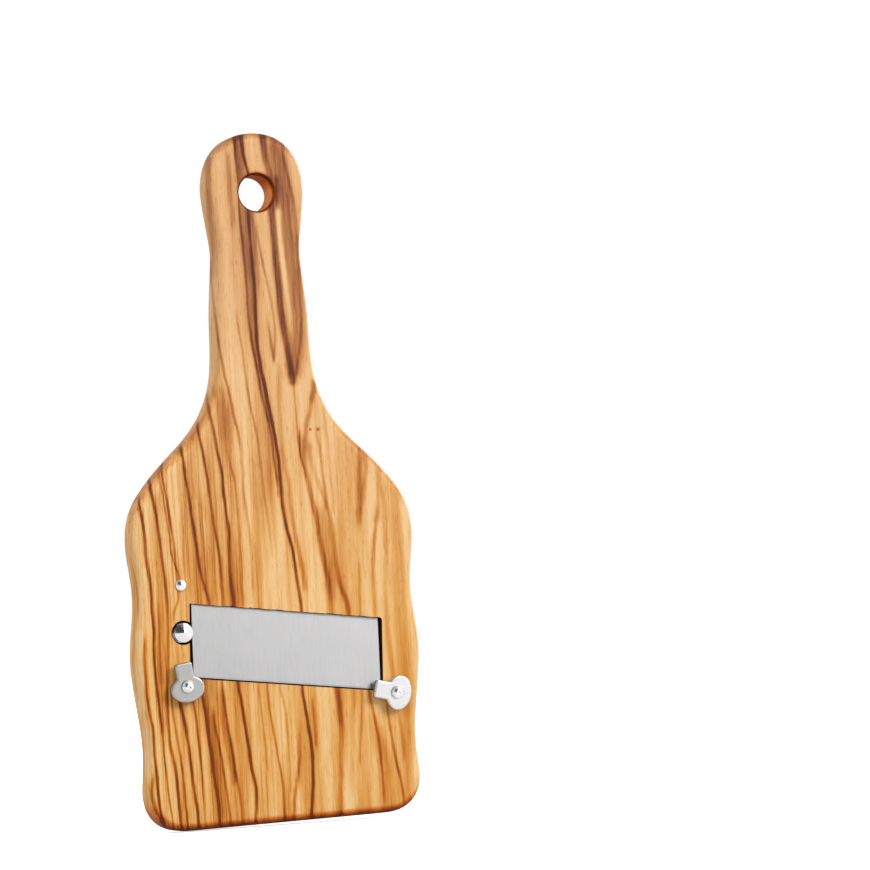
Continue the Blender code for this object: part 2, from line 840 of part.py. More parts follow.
def build():
    clear_scene()
    make_board()
    make_blade()
    make_adjusting_screw()
    make_nut_bridge()
    make_threaded_bush()
    make_bridge_pin()
    make_friction_spring()
    make_knob_washer()
    make_adjusting_knob()
    make_knob_lock_nut()
    make_clip("left_clip", left_clip_x, left_clip_z, left_clip_rest_angle)
    make_clip("right_clip", right_clip_x, right_clip_z, right_clip_rest_angle)
    make_clip_washer("left_clip_washer", left_clip_x, left_clip_z)
    make_clip_washer("right_clip_washer", right_clip_x, right_clip_z)
    make_rear_washer("right_rear_washer", right_clip_x, right_clip_z)
    right_rear_y = rear_washer_y + rear_washer_thickness + seat_gap
    make_clip_pivot("left_clip_pivot", left_clip_x, left_clip_z, bridge_back_y + seat_gap)
    make_clip_pivot("right_clip_pivot", right_clip_x, right_clip_z, right_rear_y)


build()
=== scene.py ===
# Truffle slicer: an olive-wood paddle with a skewed blade, its thickness screw and two swivel clips.
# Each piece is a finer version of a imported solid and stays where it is: +Z up the handle, front towards -Y.
# Sizes in the dictionaries are millimetres and degrees; meshes are put down in metres.

import math

import bmesh
import bpy
import numpy as np
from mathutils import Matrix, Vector


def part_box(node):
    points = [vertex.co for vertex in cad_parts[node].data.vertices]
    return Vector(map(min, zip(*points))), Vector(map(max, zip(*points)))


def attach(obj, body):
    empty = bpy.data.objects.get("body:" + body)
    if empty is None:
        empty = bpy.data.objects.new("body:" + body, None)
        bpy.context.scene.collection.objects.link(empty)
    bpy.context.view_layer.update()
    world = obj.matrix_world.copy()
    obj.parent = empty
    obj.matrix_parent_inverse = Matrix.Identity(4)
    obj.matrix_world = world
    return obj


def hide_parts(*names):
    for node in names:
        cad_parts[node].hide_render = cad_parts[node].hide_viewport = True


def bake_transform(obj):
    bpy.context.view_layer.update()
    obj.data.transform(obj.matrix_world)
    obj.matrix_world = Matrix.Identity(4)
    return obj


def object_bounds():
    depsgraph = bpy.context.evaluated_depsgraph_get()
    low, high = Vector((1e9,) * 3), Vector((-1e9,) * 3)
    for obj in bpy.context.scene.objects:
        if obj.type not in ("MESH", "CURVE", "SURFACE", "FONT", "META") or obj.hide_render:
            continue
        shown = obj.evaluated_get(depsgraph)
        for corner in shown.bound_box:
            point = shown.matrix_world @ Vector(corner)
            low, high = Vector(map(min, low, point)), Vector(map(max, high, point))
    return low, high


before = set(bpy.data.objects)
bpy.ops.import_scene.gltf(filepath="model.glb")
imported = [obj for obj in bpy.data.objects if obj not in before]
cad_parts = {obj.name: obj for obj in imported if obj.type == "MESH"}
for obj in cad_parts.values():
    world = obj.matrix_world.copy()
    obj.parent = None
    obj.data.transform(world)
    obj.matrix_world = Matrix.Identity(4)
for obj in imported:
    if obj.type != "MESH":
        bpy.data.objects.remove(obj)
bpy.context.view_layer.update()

mm = 0.001
scene = bpy.context.scene


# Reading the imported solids
def nodeBox(node):
    low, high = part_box(node)
    return np.array(low) / mm, np.array(high) / mm


# x and z of a turned node's axis, in mm
def axisOf(node):
    low, high = nodeBox(node)
    return (low[0] + high[0]) / 2, (low[2] + high[2]) / 2


# Materials
def linear(hexColour):
    shares = np.array([int(hexColour[i : i + 2], 16) for i in (1, 3, 5)]) / 255
    shares = np.where(shares <= 0.04045, shares / 12.92, ((shares + 0.055) / 1.055) ** 2.4)
    return (*shares.tolist(), 1.0)


# Links or sets a node's inputs, by name or in their order; a node that is given stands for its first output
def fillInputs(tree, node, inputs):
    pairs = inputs.items() if isinstance(inputs, dict) else enumerate(inputs)
    for socket, value in pairs:
        if isinstance(value, bpy.types.Node):
            value = value.outputs[0]
        if isinstance(value, bpy.types.NodeSocket):
            tree.links.new(value, node.inputs[socket])
        else:
            node.inputs[socket].default_value = value


# Adds a node with its inputs and settings; a second word in its kind is its operation
def addNode(tree, kind, inputs=(), **settings):
    kind, _, operation = kind.partition(" ")
    node = tree.nodes.new("ShaderNode" + kind)
    if operation:
        node.operation = operation
    for key, value in settings.items():
        setattr(node, key, value)
    fillInputs(tree, node, inputs)
    return node


def newMaterial(name):
    material = bpy.data.materials.new(name)
    material.use_nodes = True
    return material, material.node_tree, material.node_tree.nodes["Principled BSDF"]


def fillRamp(node, stops):
    ramp = node.color_ramp
    while len(ramp.elements) < len(stops):
        ramp.elements.new(0.5)
    for element, (place, colour) in zip(ramp.elements, stops):
        element.position = place
        element.color = linear(colour)
    return node


# Product of fades over a vector's axes; each fade is (axis, from, to, share before, share after)
def fadeProduct(tree, axes, fades):
    share = 1.0
    for axis, *span in fades:
        fade = addNode(tree, "MapRange", [axes.outputs[axis], *span])
        share = addNode(tree, "Math MULTIPLY", [share, fade])
    return share


# Olive wood, planed, sanded and oiled: straw ground, amber bands and thin dark mineral lines up the board
woodLook = dict(
    ramp=(
        (0.0, "#F4CB90"),
        (0.2, "#E6AC60"),
        (0.4, "#D48A39"),
        (0.62, "#BB671E"),
        (0.82, "#994B12"),
        (1.0, "#71380D"),
    ),
    # the handle's wood is greyer and browner; it blends into the body's over the neck
    handleRamp=(
        (0.0, "#EDC290"),
        (0.2, "#E0AA72"),
        (0.4, "#C08350"),
        (0.62, "#9D613A"),
        (0.82, "#7B4429"),
        (1.0, "#5B2F1D"),
    ),
    handleBlend=(-145, -30),  # z between which it does
    # faces that look down take a brighter, more saturated orange ramp: painted bounce light from the floor
    bounceLightRamp=((0.0, "#FFA253"), (0.35, "#F58630"), (0.7, "#BC541D"), (1.0, "#7A3412")),
    stainShare=0.85,
    bounceLightTilt=(-0.4, -0.12),  # the normal's z between which the painted bounce light fades out
    frontFace=-6.0,  # y that depth into the wood is measured from
    lean=-0.4,  # how far the lines shift sideways for each mm into the wood
    plunge=0.35,  # how far they shift along the grain for each mm
    # depths on the ramps: of the plain wood, and what the other features add to it
    ground=0.06,
    upperBody=-0.05,
    underClip=0.05,
    grip=0.04,
    endGrain=0.35,  # it drinks more oil
    # faces that look down go deeper on the ramps: painted shade
    undersidePaintedShade=0.25,
    lip=0.0,  # just behind the face of a cut wall: painted shade
    knot=0.45,
    knotFade=(0.5, 1.6),  # between these shares of its radius
    lineShare=1.0,  # how much of the front's grain lines shows
    calmShare=0.6,  # how much of the bands shows at the upper right
    endTilt=(0.15, 0.85),  # size of the normal's z between which side grain turns into end grain
    undersideShadeTilt=(-0.7, -0.15),
    lipReach=(1.3, 3.2),
    roughness=(0.43, 0.56),  # between fibres and on them
    gloss=0.15,
    relief=0.01,
    reliefStrength=0.15,
)
# Noise drawn out along the grain: width and length in mm, detail, shift, the span of noise that shows and its
# result: mm sideways for wander and fray, a share of the drawn lines for patches, else depth on the ramps
grainLayers = dict(
    wander=(14, 12, 2.0, 0.0, (0, 1), (-0.35, 0.35)),
    fray=(0.5, 5, 2.0, 0.0, (0, 1), (-0.3, 0.3)),
    bands=(5.5, 90, 3.0, 4.7, (0.45, 0.67), (0.0, 0.34)),
    lines=(1.1, 60, 3.0, 11.3, (0.5, 0.78), (0.0, 0.3)),
    fibres=(0.35, 9, 2.0, 2.1, (0.2, 0.8), (-0.08, 0.08)),  # real ones are 0.02 mm; as wide as a pixel shows
    wide=(12, 140, 2.0, 17.9, (0.3, 0.7), (-0.1, 0.1)),
    threads=(0.6, 45, 2.0, 23.5, (0.56, 0.74), (0.0, 0.3)),
    pores=(0.3, 3.5, 1.0, 31.1, (0.6, 0.78), (0.0, 0.22)),
    patches=(1.1, 15, 2.0, 7.3, (0.3, 0.7), (0.72, 1.15)),
)
# Regions of the board in x (0) and z (2), as fades in mm
woodRegions = dict(
    banded=((2, -95, -60, 1.0, 0.4),),  # the handle is plainer than the body
    lined=((0, -18, 2, 1.0, 0.35), (2, -95, -60, 1.0, 0.4)),  # and so is the body's right side
    calm=((0, 16, 28, 0, 1), (2, -165, -140, 0, 1)),
    upperBody=((2, -150, -110, 0, 1), (2, -60, -45, 1, 0), (0, -28, -12, 0.2, 1)),
    underClip=((0, -30, -10, 1, 0), (2, -150, -135, 1, 0)),
    grip=((2, -60, -40, 0, 1), (0, -8, -2, 1, 0)),
)
# Span that the grain lines' curves cover, in z and to each side in x; a line that starts below "top" or ends
# above "foot" fades in or out over "fade" mm
grainCurve = dict(low=-212.0, high=22.0, half=52.0, top=20, foot=-206, fade=4)

# Grain lines on the front: half width, then (z, x, depth) down the board; a negative one is a paler line
grainLines = (
    (0.4, (21, -7.2, 0.5), (15, -7.0, 0.6), (6, -6.6, 0.5), (-7, -6.4, 0.5), (-20, -5.8, 0.45),
     (-30, -5.5, 0.35), (-40, -5.3, 0.35), (-45, -5, 0.4), (-50, -4.5, 0.42), (-60, -3.1, 0.42),
     (-65, -2.4, 0.4), (-72, -1.2, 0.35), (-80, 0.3, 0.35), (-90, 1.0, 0.35), (-100, 2.0, 0.3)),
    (0.5, (21, -4.6, 0.8), (15, -4.4, 0.8), (10, -3.6, 0.75), (6, -2.8, 0.7), (-7, -3.3, 0.75),
     (-15, -3.2, 0.7), (-25, -2.9, 0.8), (-35, -2.6, 0.85), (-45, -2.8, 0.85), (-60, -1.7, 0.9),
     (-65, -0.7, 0.95), (-75, 0.7, 0.9), (-85, 2.2, 0.9), (-98, 2.9, 0.9), (-105, 3.2, 0.9),
     (-112, 4.1, 0.95), (-117, 5.3, 1), (-122, 6.1, 1), (-128, 6.6, 0.95), (-134, 7.3, 0.9),
     (-139, 7.8, 0.8), (-152, 7, 0.7), (-165, 6.6, 0.75), (-170, 7.2, 0.8), (-178, 8.1, 0.9),
     (-183, 8.8, 0.95), (-190, 9.0, 0.95), (-197, 8.6, 0.9), (-203, 8, 0.9), (-209, 7.5, 0.9)),
    (1.2, (21, -5.8, 0.5), (10, -5.3, 0.5), (-7, -4.9, 0.42), (-20, -4.5, 0.42), (-35, -4, 0.34),
     (-45, -3.9, 0.3), (-55, -3, 0.3), (-65, -1.6, 0.28), (-75, 0.0, 0.25), (-85, 1.5, 0.22),
     (-95, 2.3, 0.2)),
    (0.8, (-7, -2.1, 0.4), (-15, -1.7, 0.35), (-25, -1.5, 0.25), (-35, -1.2, 0.1)),
    (1.1, (20, 2.8, 0.8), (15, 3.2, 0.7), (10, 3.9, 0.6), (6, 4.6, 0.5), (-7, 4.8, 0.7), (-15, 5.0, 0.75),
     (-20, 5.2, 0.75), (-30, 5.7, 0.78), (-40, 6.2, 0.8), (-45, 6.8, 0.8), (-50, 7.4, 0.78), (-55, 8, 0.7),
     (-60, 8.7, 0.6), (-64, 9, 0.5), (-66, 9.1, 0)),
    (2.6, (18, 7.5, 0.42), (10, 8.2, 0.45), (0, 10, 0.42), (-8, 10.5, 0.42), (-20, 11, 0.42),
     (-40, 11.6, 0.42), (-50, 11.3, 0.42), (-55, 10.8, 0.42), (-60, 9.8, 0.4), (-65, 9.2, 0)),
    (0.5, (16, 9.8, 0.3), (-5, 12.8, 0.25), (-20, 13.3, 0.3), (-35, 13.2, 0.3), (-45, 13, 0.3),
     (-52, 12, 0.3), (-58, 11, 0.25), (-63, 9.8, 0.2), (-66, 9.2, 0)),
    (-0.7, (-6, 6.9, 0.35), (-15, 7.1, 0.35), (-25, 7.8, 0.35), (-35, 8.8, 0.25), (-45, 9.6, 0.15),
     (-52, 9.7, 0)),
    (1.3, (14, -17, 0.2), (0, -17, 0.28), (-10, -17, 0.25), (-25, -17.5, 0.15)),
    (0.9, (12, -9.5, 0.12), (0, -9.5, 0.2), (-10, -9, 0.15)),
    (0.45, (-20, -18.2, 0.25), (-28, -18, 0.3), (-36, -17.3, 0.35), (-45, -16.6, 0.4), (-55, -15.5, 0.42),
     (-60, -14.8, 0.42), (-65, -13.6, 0.42), (-75, -12.1, 0.45), (-80, -11, 0.4), (-90, -10.3, 0.3),
     (-100, -10, 0.3), (-112, -9, 0.3), (-120, -8.6, 0.28), (-130, -8.7, 0.25)),
    (2.5, (-40, -18.5, 0.1), (-60, -17.5, 0.2), (-68, -16.5, 0.4), (-76, -15.5, 0.46), (-84, -15, 0.32),
     (-100, -13.5, 0.2), (-135, -13, 0.15)),
    (0.4, (-40, -9.5, 0.1), (-45, -9, 0.25), (-52, -8.2, 0.3), (-60, -7.5, 0.3), (-70, -6.5, 0.3),
     (-80, -4.8, 0.28), (-88, -4, 0.25), (-105, -2.6, 0.22), (-112, -2, 0.2), (-120, -1.4, 0.12)),
    (0.8, (-58, 4.6, 0.1), (-66, 4.2, 0.22), (-75, 3.8, 0.2), (-90, 4.6, 0.22), (-96, 5.4, 0.3),
     (-105, 6, 0.35), (-112, 6.6, 0.35), (-117, 7.3, 0.4), (-125, 8.6, 0.4), (-132, 9.4, 0.3)),
    (0.5, (-42, 1.2, 0.1), (-48, 1.8, 0.3), (-54, 2.5, 0.35), (-58, 2.8, 0)),
    (0.4, (-12, -0.6, 0.1), (-20, 0.2, 0.25), (-28, 1.4, 0.3), (-36, 2.8, 0.25), (-46, 3.6, 0.25),
     (-54, 3.1, 0.3), (-58, 2.8, 0)),
    (0.9, (-62, 16.2, 0.1), (-65, 16.2, 0.5), (-69, 15.4, 0.55), (-72, 14.8, 0.3), (-76, 13.6, 0.35),
     (-80, 12.6, 0.3), (-84, 11.9, 0.45), (-90, 11.6, 0.4), (-98, 12.6, 0.4), (-104, 13.8, 0.5),
     (-110, 15, 0.6), (-118, 15.8, 0.65), (-124, 16.7, 0.65), (-130, 17.6, 0.6), (-136, 18.1, 0.5),
     (-150, 18.5, 0.4), (-165, 18.8, 0.6), (-172, 19.2, 0.75), (-180, 19.6, 0.5), (-188, 19, 0.42),
     (-195, 18.5, 0.42), (-202, 18, 0.45), (-209, 17.8, 0.5)),
    (0.35, (-80, 10.4, 0.3), (-85, 10.3, 0.55), (-90, 10.8, 0.45), (-95, 11.8, 0.2)),
    (0.8, (-86, 13.6, 0.3), (-94, 15, 0.2), (-100, 17, 0.25), (-106, 19, 0.3), (-112, 20.2, 0.35),
     (-118, 20.5, 0.4), (-125, 21, 0.4), (-132, 22, 0.45), (-138, 24, 0.45), (-142, 24.5, 0.4)),
    (1.6, (-106, 17, 0.2), (-112, 18, 0.35), (-120, 18.6, 0.38), (-128, 18.9, 0.35), (-136, 19, 0.2),
     (-140, 19, 0)),
    (0.3, (-64, 9.3, 0.3), (-75, 9.5, 0.28), (-83, 9.9, 0.3), (-87, 10.2, 0.3)),
    (0.5, (-98, -46.8, 0.5), (-105, -45.8, 0.8), (-112, -45.2, 0.8), (-120, -44.8, 0.75),
     (-126, -44.2, 0.7), (-132, -43.8, 0.7), (-140, -43.5, 0.7), (-150, -43.8, 0.6), (-158, -43.9, 0.5),
     (-168, -43.2, 0.4), (-176, -42.5, 0.3)),
    (0.45, (-146, -46.9, 0.3), (-152, -47.2, 0.6), (-160, -47.2, 0.65), (-168, -46.8, 0.7),
     (-175, -45.7, 0.75), (-185, -45.3, 0.8), (-192, -45, 0.8), (-200, -44.5, 0.8), (-206, -43.9, 0.7)),
    (0.5, (-90, -43.5, 0.4), (-95, -42.6, 0.7), (-100, -41.6, 0.8), (-105, -40.8, 0.75),
     (-112, -40.2, 0.75), (-120, -39.5, 0.7), (-128, -38.9, 0.7), (-135, -38.5, 0.65), (-150, -38.9, 0.5),
     (-158, -39.5, 0.5), (-168, -40.4, 0.5), (-180, -40.1, 0.55), (-187, -39, 0.65), (-195, -38.2, 0.7),
     (-207, -37.7, 0.75)),
    (1.3, (-100, -40.2, 0.15), (-110, -41.3, 0.25), (-120, -41, 0.3), (-130, -40.6, 0.3),
     (-150, -41.5, 0.3), (-160, -42, 0.25)),
    (0.4, (-86, -38.5, 0.3), (-92, -38.2, 0.5), (-100, -36.9, 0.55), (-108, -36, 0.6), (-115, -35.3, 0.6),
     (-125, -34.9, 0.6), (-132, -34.6, 0.5), (-140, -36.5, 0.2)),
    (0.3, (-92, -39.2, 0.3), (-100, -37.9, 0.4), (-112, -36.8, 0.4), (-120, -35.9, 0.4),
     (-128, -33.8, 0.4)),
    (0.5, (-82, -31.6, 0.5), (-88, -30.6, 0.6), (-98, -29.5, 0.7), (-105, -28.8, 0.7), (-112, -28, 0.7),
     (-118, -27.4, 0.65), (-125, -26.5, 0.6), (-130, -25.4, 0.5), (-136, -24, 0.45)),
    (0.45, (-74, -25.3, 0.4), (-80, -24.6, 0.65), (-85, -23.7, 0.65), (-92, -22.8, 0.6), (-98, -22.2, 0.55),
     (-105, -21.6, 0.5), (-112, -20.8, 0.5), (-120, -19.8, 0.5), (-137, -19.3, 0.4), (-150, -20, 0.3),
     (-160, -21, 0.35), (-168, -20.6, 0.5), (-175, -20, 0.6), (-183, -19, 0.6), (-190, -18.2, 0.55),
     (-198, -17, 0.5), (-207, -16.6, 0.3)),
    (0.5, (-64, -21.6, 0.3), (-70, -21, 0.45), (-75, -20, 0.5), (-80, -19.2, 0.65), (-85, -18.6, 0.75),
     (-92, -17.6, 0.75), (-100, -17.2, 0.75), (-108, -16.4, 0.8), (-112, -16, 0.85), (-120, -16.2, 0.75),
     (-128, -16.3, 0.75), (-136, -15.8, 0.7), (-150, -15.8, 0.6), (-163, -15.5, 0.75), (-168, -14.8, 0.8),
     (-175, -14, 0.85), (-182, -13.3, 0.85), (-188, -12.8, 0.9), (-193, -11.9, 0.95), (-198, -11.2, 0.95),
     (-204, -11.6, 0.9), (-209, -12.1, 0.85)),
    (0.4, (-88, -14.5, 0.2), (-95, -13.2, 0.3), (-105, -12.6, 0.3), (-118, -12.3, 0.3), (-138, -12.5, 0.2)),
    (0.5, (-160, -36.8, 0.3), (-167, -36, 0.6), (-172, -35, 0.8), (-180, -34, 0.85), (-186, -33.5, 0.85),
     (-192, -33, 0.85), (-200, -32.2, 0.85), (-209, -31.6, 0.85)),
    (0.4, (-163, -31.6, 0.5), (-170, -31, 0.6), (-180, -30.3, 0.6), (-190, -29.7, 0.55), (-200, -29.4, 0.4),
     (-208, -29.3, 0.3)),
    (0.5, (-159, -28.6, 0.5), (-168, -27.8, 0.65), (-180, -26.6, 0.65), (-185, -26, 0.7),
     (-192, -25.5, 0.7), (-200, -24.5, 0.7), (-208, -24.3, 0.7)),
    (1.2, (-170, -26, 0.15), (-178, -25.2, 0.3), (-186, -24.4, 0.35), (-195, -23.6, 0.3),
     (-205, -23, 0.25)),
    (0.4, (-172, -24.5, 0.4), (-183, -23, 0.5), (-192, -22, 0.55), (-200, -21, 0.55), (-208, -20.7, 0.55)),
    (0.3, (-150, -44, 0.4), (-160, -43.5, 0.5), (-170, -42.9, 0.5), (-180, -42.4, 0.5), (-190, -41.8, 0.5),
     (-200, -41, 0.5), (-207, -40.5, 0.4)),
    (0.35, (-165, -38.6, 0.4), (-175, -38, 0.5), (-185, -36.8, 0.6), (-195, -36, 0.6), (-207, -35.5, 0.6)),
    (0.6, (-190, -46.4, 0.2), (-196, -47, 0.5), (-202, -45.8, 0.5), (-206, -44, 0.4)),
    (1.0, (-165, -21.2, 0.3), (-172, -21.3, 0.4), (-178, -20.8, 0.4), (-186, -19.8, 0.35),
     (-194, -18.8, 0.3)),
    (0.4, (-164, -5.6, 0.3), (-172, -5, 0.4), (-180, -4, 0.45), (-188, -2.9, 0.45), (-195, -2.1, 0.4),
     (-206, -1.9, 0.35)),
    (0.35, (-163, -8.4, 0.25), (-172, -8, 0.3), (-180, -7.5, 0.3), (-190, -7, 0.2)),
    (0.4, (-164, -1, 0.2), (-172, 0.4, 0.25), (-180, 0.8, 0.3), (-190, 1, 0.25), (-198, 0.6, 0.2)),
    (0.6, (-178, 5, 0.1), (-188, 4.4, 0.35), (-194, 3.4, 0.45), (-200, 2.2, 0.45), (-206, 1.5, 0.45),
     (-209, 1.3, 0.4)),
    (0.4, (-170, 10, 0.3), (-176, 10.2, 0.35), (-184, 10.6, 0.25)),
    (0.9, (-168, 24.5, 0.3), (-178, 23.6, 0.25), (-188, 23, 0.2), (-200, 22.5, 0.1)),
    (0.45, (-168, 27.6, 0.25), (-178, 26.8, 0.25), (-190, 25.6, 0.2)),
    (0.5, (-166, 30.2, 0.5), (-174, 31.1, 0.55), (-180, 32.1, 0.5), (-188, 33, 0.45), (-195, 33.3, 0.35),
     (-204, 33.4, 0.25)),
    (2.2, (-176, 31.5, 0.1), (-184, 33, 0.25), (-192, 34.5, 0.32), (-206, 34, 0.3)),
    (0.45, (-172, 36.2, 0.3), (-178, 36.7, 0.45), (-184, 37.3, 0.5), (-190, 38.2, 0.5), (-197, 39.5, 0.5),
     (-204, 40.3, 0.45)),
    (0.5, (-174, 40.2, 0.2), (-182, 40.8, 0.3), (-190, 41.2, 0.2)),
    (0.9, (-84, 31.5, 0.15), (-92, 31.2, 0.38), (-98, 30.6, 0.38), (-105, 30.1, 0.35), (-111, 29.6, 0.25),
     (-117, 29.3, 0)),
    (0.9, (-84, 33.4, 0.2), (-92, 33.4, 0.3), (-98, 32.4, 0.3), (-104, 31.2, 0.22), (-110, 29.9, 0.1)),
    (-1.6, (-104, 45.2, 0.1), (-112, 46.5, 0.2), (-125, 46.5, 0.2), (-138, 46, 0.18), (-150, 46.5, 0.18),
     (-165, 47, 0.18), (-180, 46.5, 0.15), (-195, 46, 0.15)),
    (-1.5, (-100, -48.5, 0.1), (-112, -48.4, 0.2), (-130, -47.3, 0.18), (-150, -49, 0.18),
     (-170, -49.3, 0.18), (-190, -48, 0.15)),
    (0.9, (8, 6, 0), (5, 6.7, 0.45), (0, 7.1, 0.55), (-5, 6.7, 0.45), (-8.5, 6, 0)),
    (1.4, (-86, 36, 0.15), (-94, 37.4, 0.3), (-100, 37.6, 0.3), (-105, 37.4, 0.2), (-110, 36.6, 0.15)),
    (0.7, (-106, 36.3, 0.2), (-112, 35.6, 0.35), (-118, 34.6, 0.4), (-125, 33.9, 0.35), (-135, 33.5, 0.3),
     (-142, 33.6, 0.3)),
    (0.9, (-100, 38.8, 0.1), (-108, 39, 0.2), (-116, 38.9, 0.25), (-124, 38.5, 0.2), (-132, 38, 0.15),
     (-150, 38, 0.28), (-166, 39, 0.25)),
    (0.5, (-124, 29, 0.1), (-130, 28.8, 0.28), (-142, 28.5, 0.25)),
    (0.5, (-74, 19.5, 0.15), (-84, 20, 0.2), (-95, 20.5, 0.2), (-105, 20.8, 0.25)),
    (0.5, (-80, 16.5, 0.2), (-88, 17.5, 0.25), (-96, 18, 0.3), (-104, 18.6, 0.3)),
)
knots = ((14.3, -79.5, 0.45), (17.0, -79.5, 0.5))  # x, z and radius of two pin knots


# Puts one line's x and depth, as functions of z, into one channel of two curve nodes
def drawGrainLine(placeNode, depthNode, channel, line):
    low, high, half, fade = (grainCurve[key] for key in ("low", "high", "half", "fade"))
    points = [np.array(point, float) for point in line[1:]]
    if points[0][0] < grainCurve["top"]:
        points.insert(0, points[0] + (fade, 0, -points[0][2]))
    if points[-1][0] > grainCurve["foot"]:
        points.append(points[-1] - (fade, 0, points[-1][2]))
    points = np.array(points[::-1])
    shares = (points[:, 0] - low) / (high - low)
    places = (points[:, 1] + half) / (2 * half)
    for node, values in ((placeNode, places), (depthNode, points[:, 2])):
        curve = node.mapping.curves[channel]
        curve.points[0].location = (0.0, values[0])
        curve.points[1].location = (1.0, values[-1])
        for share, value in zip(shares, values):
            curve.points.new(share, value)
        for point in curve.points:
            point.handle_type = "AUTO_CLAMPED"


# Sum of all grain lines at (x, z), three to a group: each is depth(z) / (1 + ((x - place(z)) / half width)^4)
def grainLineDepth(tree, across, along):
    low, high, half = grainCurve["low"], grainCurve["high"], grainCurve["half"]
    shares = addNode(tree, "CombineXYZ", [addNode(tree, "MapRange", [along, low, high, 0, 1])] * 3)
    places = addNode(tree, "CombineXYZ", [addNode(tree, "MapRange", [across, -half, half, 0, 1])] * 3)
    total = 0.0
    for first in range(0, len(grainLines), 3):
        placeNode = addNode(tree, "RGBCurve", {"Color": shares})
        depthNode = addNode(tree, "RGBCurve", {"Color": shares})
        widths = [1.0, 1.0, 1.0]
        signs = [0.0, 0.0, 0.0]
        for channel, line in enumerate(grainLines[first : first + 3]):
            drawGrainLine(placeNode, depthNode, channel, line)
            widths[channel] = 2 * half / abs(line[0])
            signs[channel] = math.copysign(1.0, line[0])
        placeNode.mapping.update()
        depthNode.mapping.update()
        apart = addNode(tree, "VectorMath SUBTRACT", [places, placeNode])
        ratio = addNode(tree, "VectorMath MULTIPLY", [apart, widths])
        square = addNode(tree, "VectorMath MULTIPLY", [ratio, ratio])
        fall = addNode(tree, "VectorMath MULTIPLY_ADD", [square, square, (1, 1, 1)])
        depths = addNode(tree, "VectorMath DIVIDE", [depthNode, fall])
        part = addNode(tree, "VectorMath DOT_PRODUCT", [depths, signs]).outputs["Value"]
        total = addNode(tree, "Math ADD", [total, part])
    return total


# One layer of noise at a place (across, into, along the grain) and what it turns into
def grainLayer(tree, place, name):
    width, length, detail, shift, shown, gives = grainLayers[name]
    scales = (1 / width, 0.5 / width, 1 / length)
    scaled = addNode(tree, "VectorMath MULTIPLY_ADD", [place, scales, (shift, shift, shift)])
    noise = addNode(tree, "TexNoise", {"Vector": scaled, "Scale": 1.0, "Detail": detail})
    return noise, addNode(tree, "MapRange", [noise, *shown, *gives])
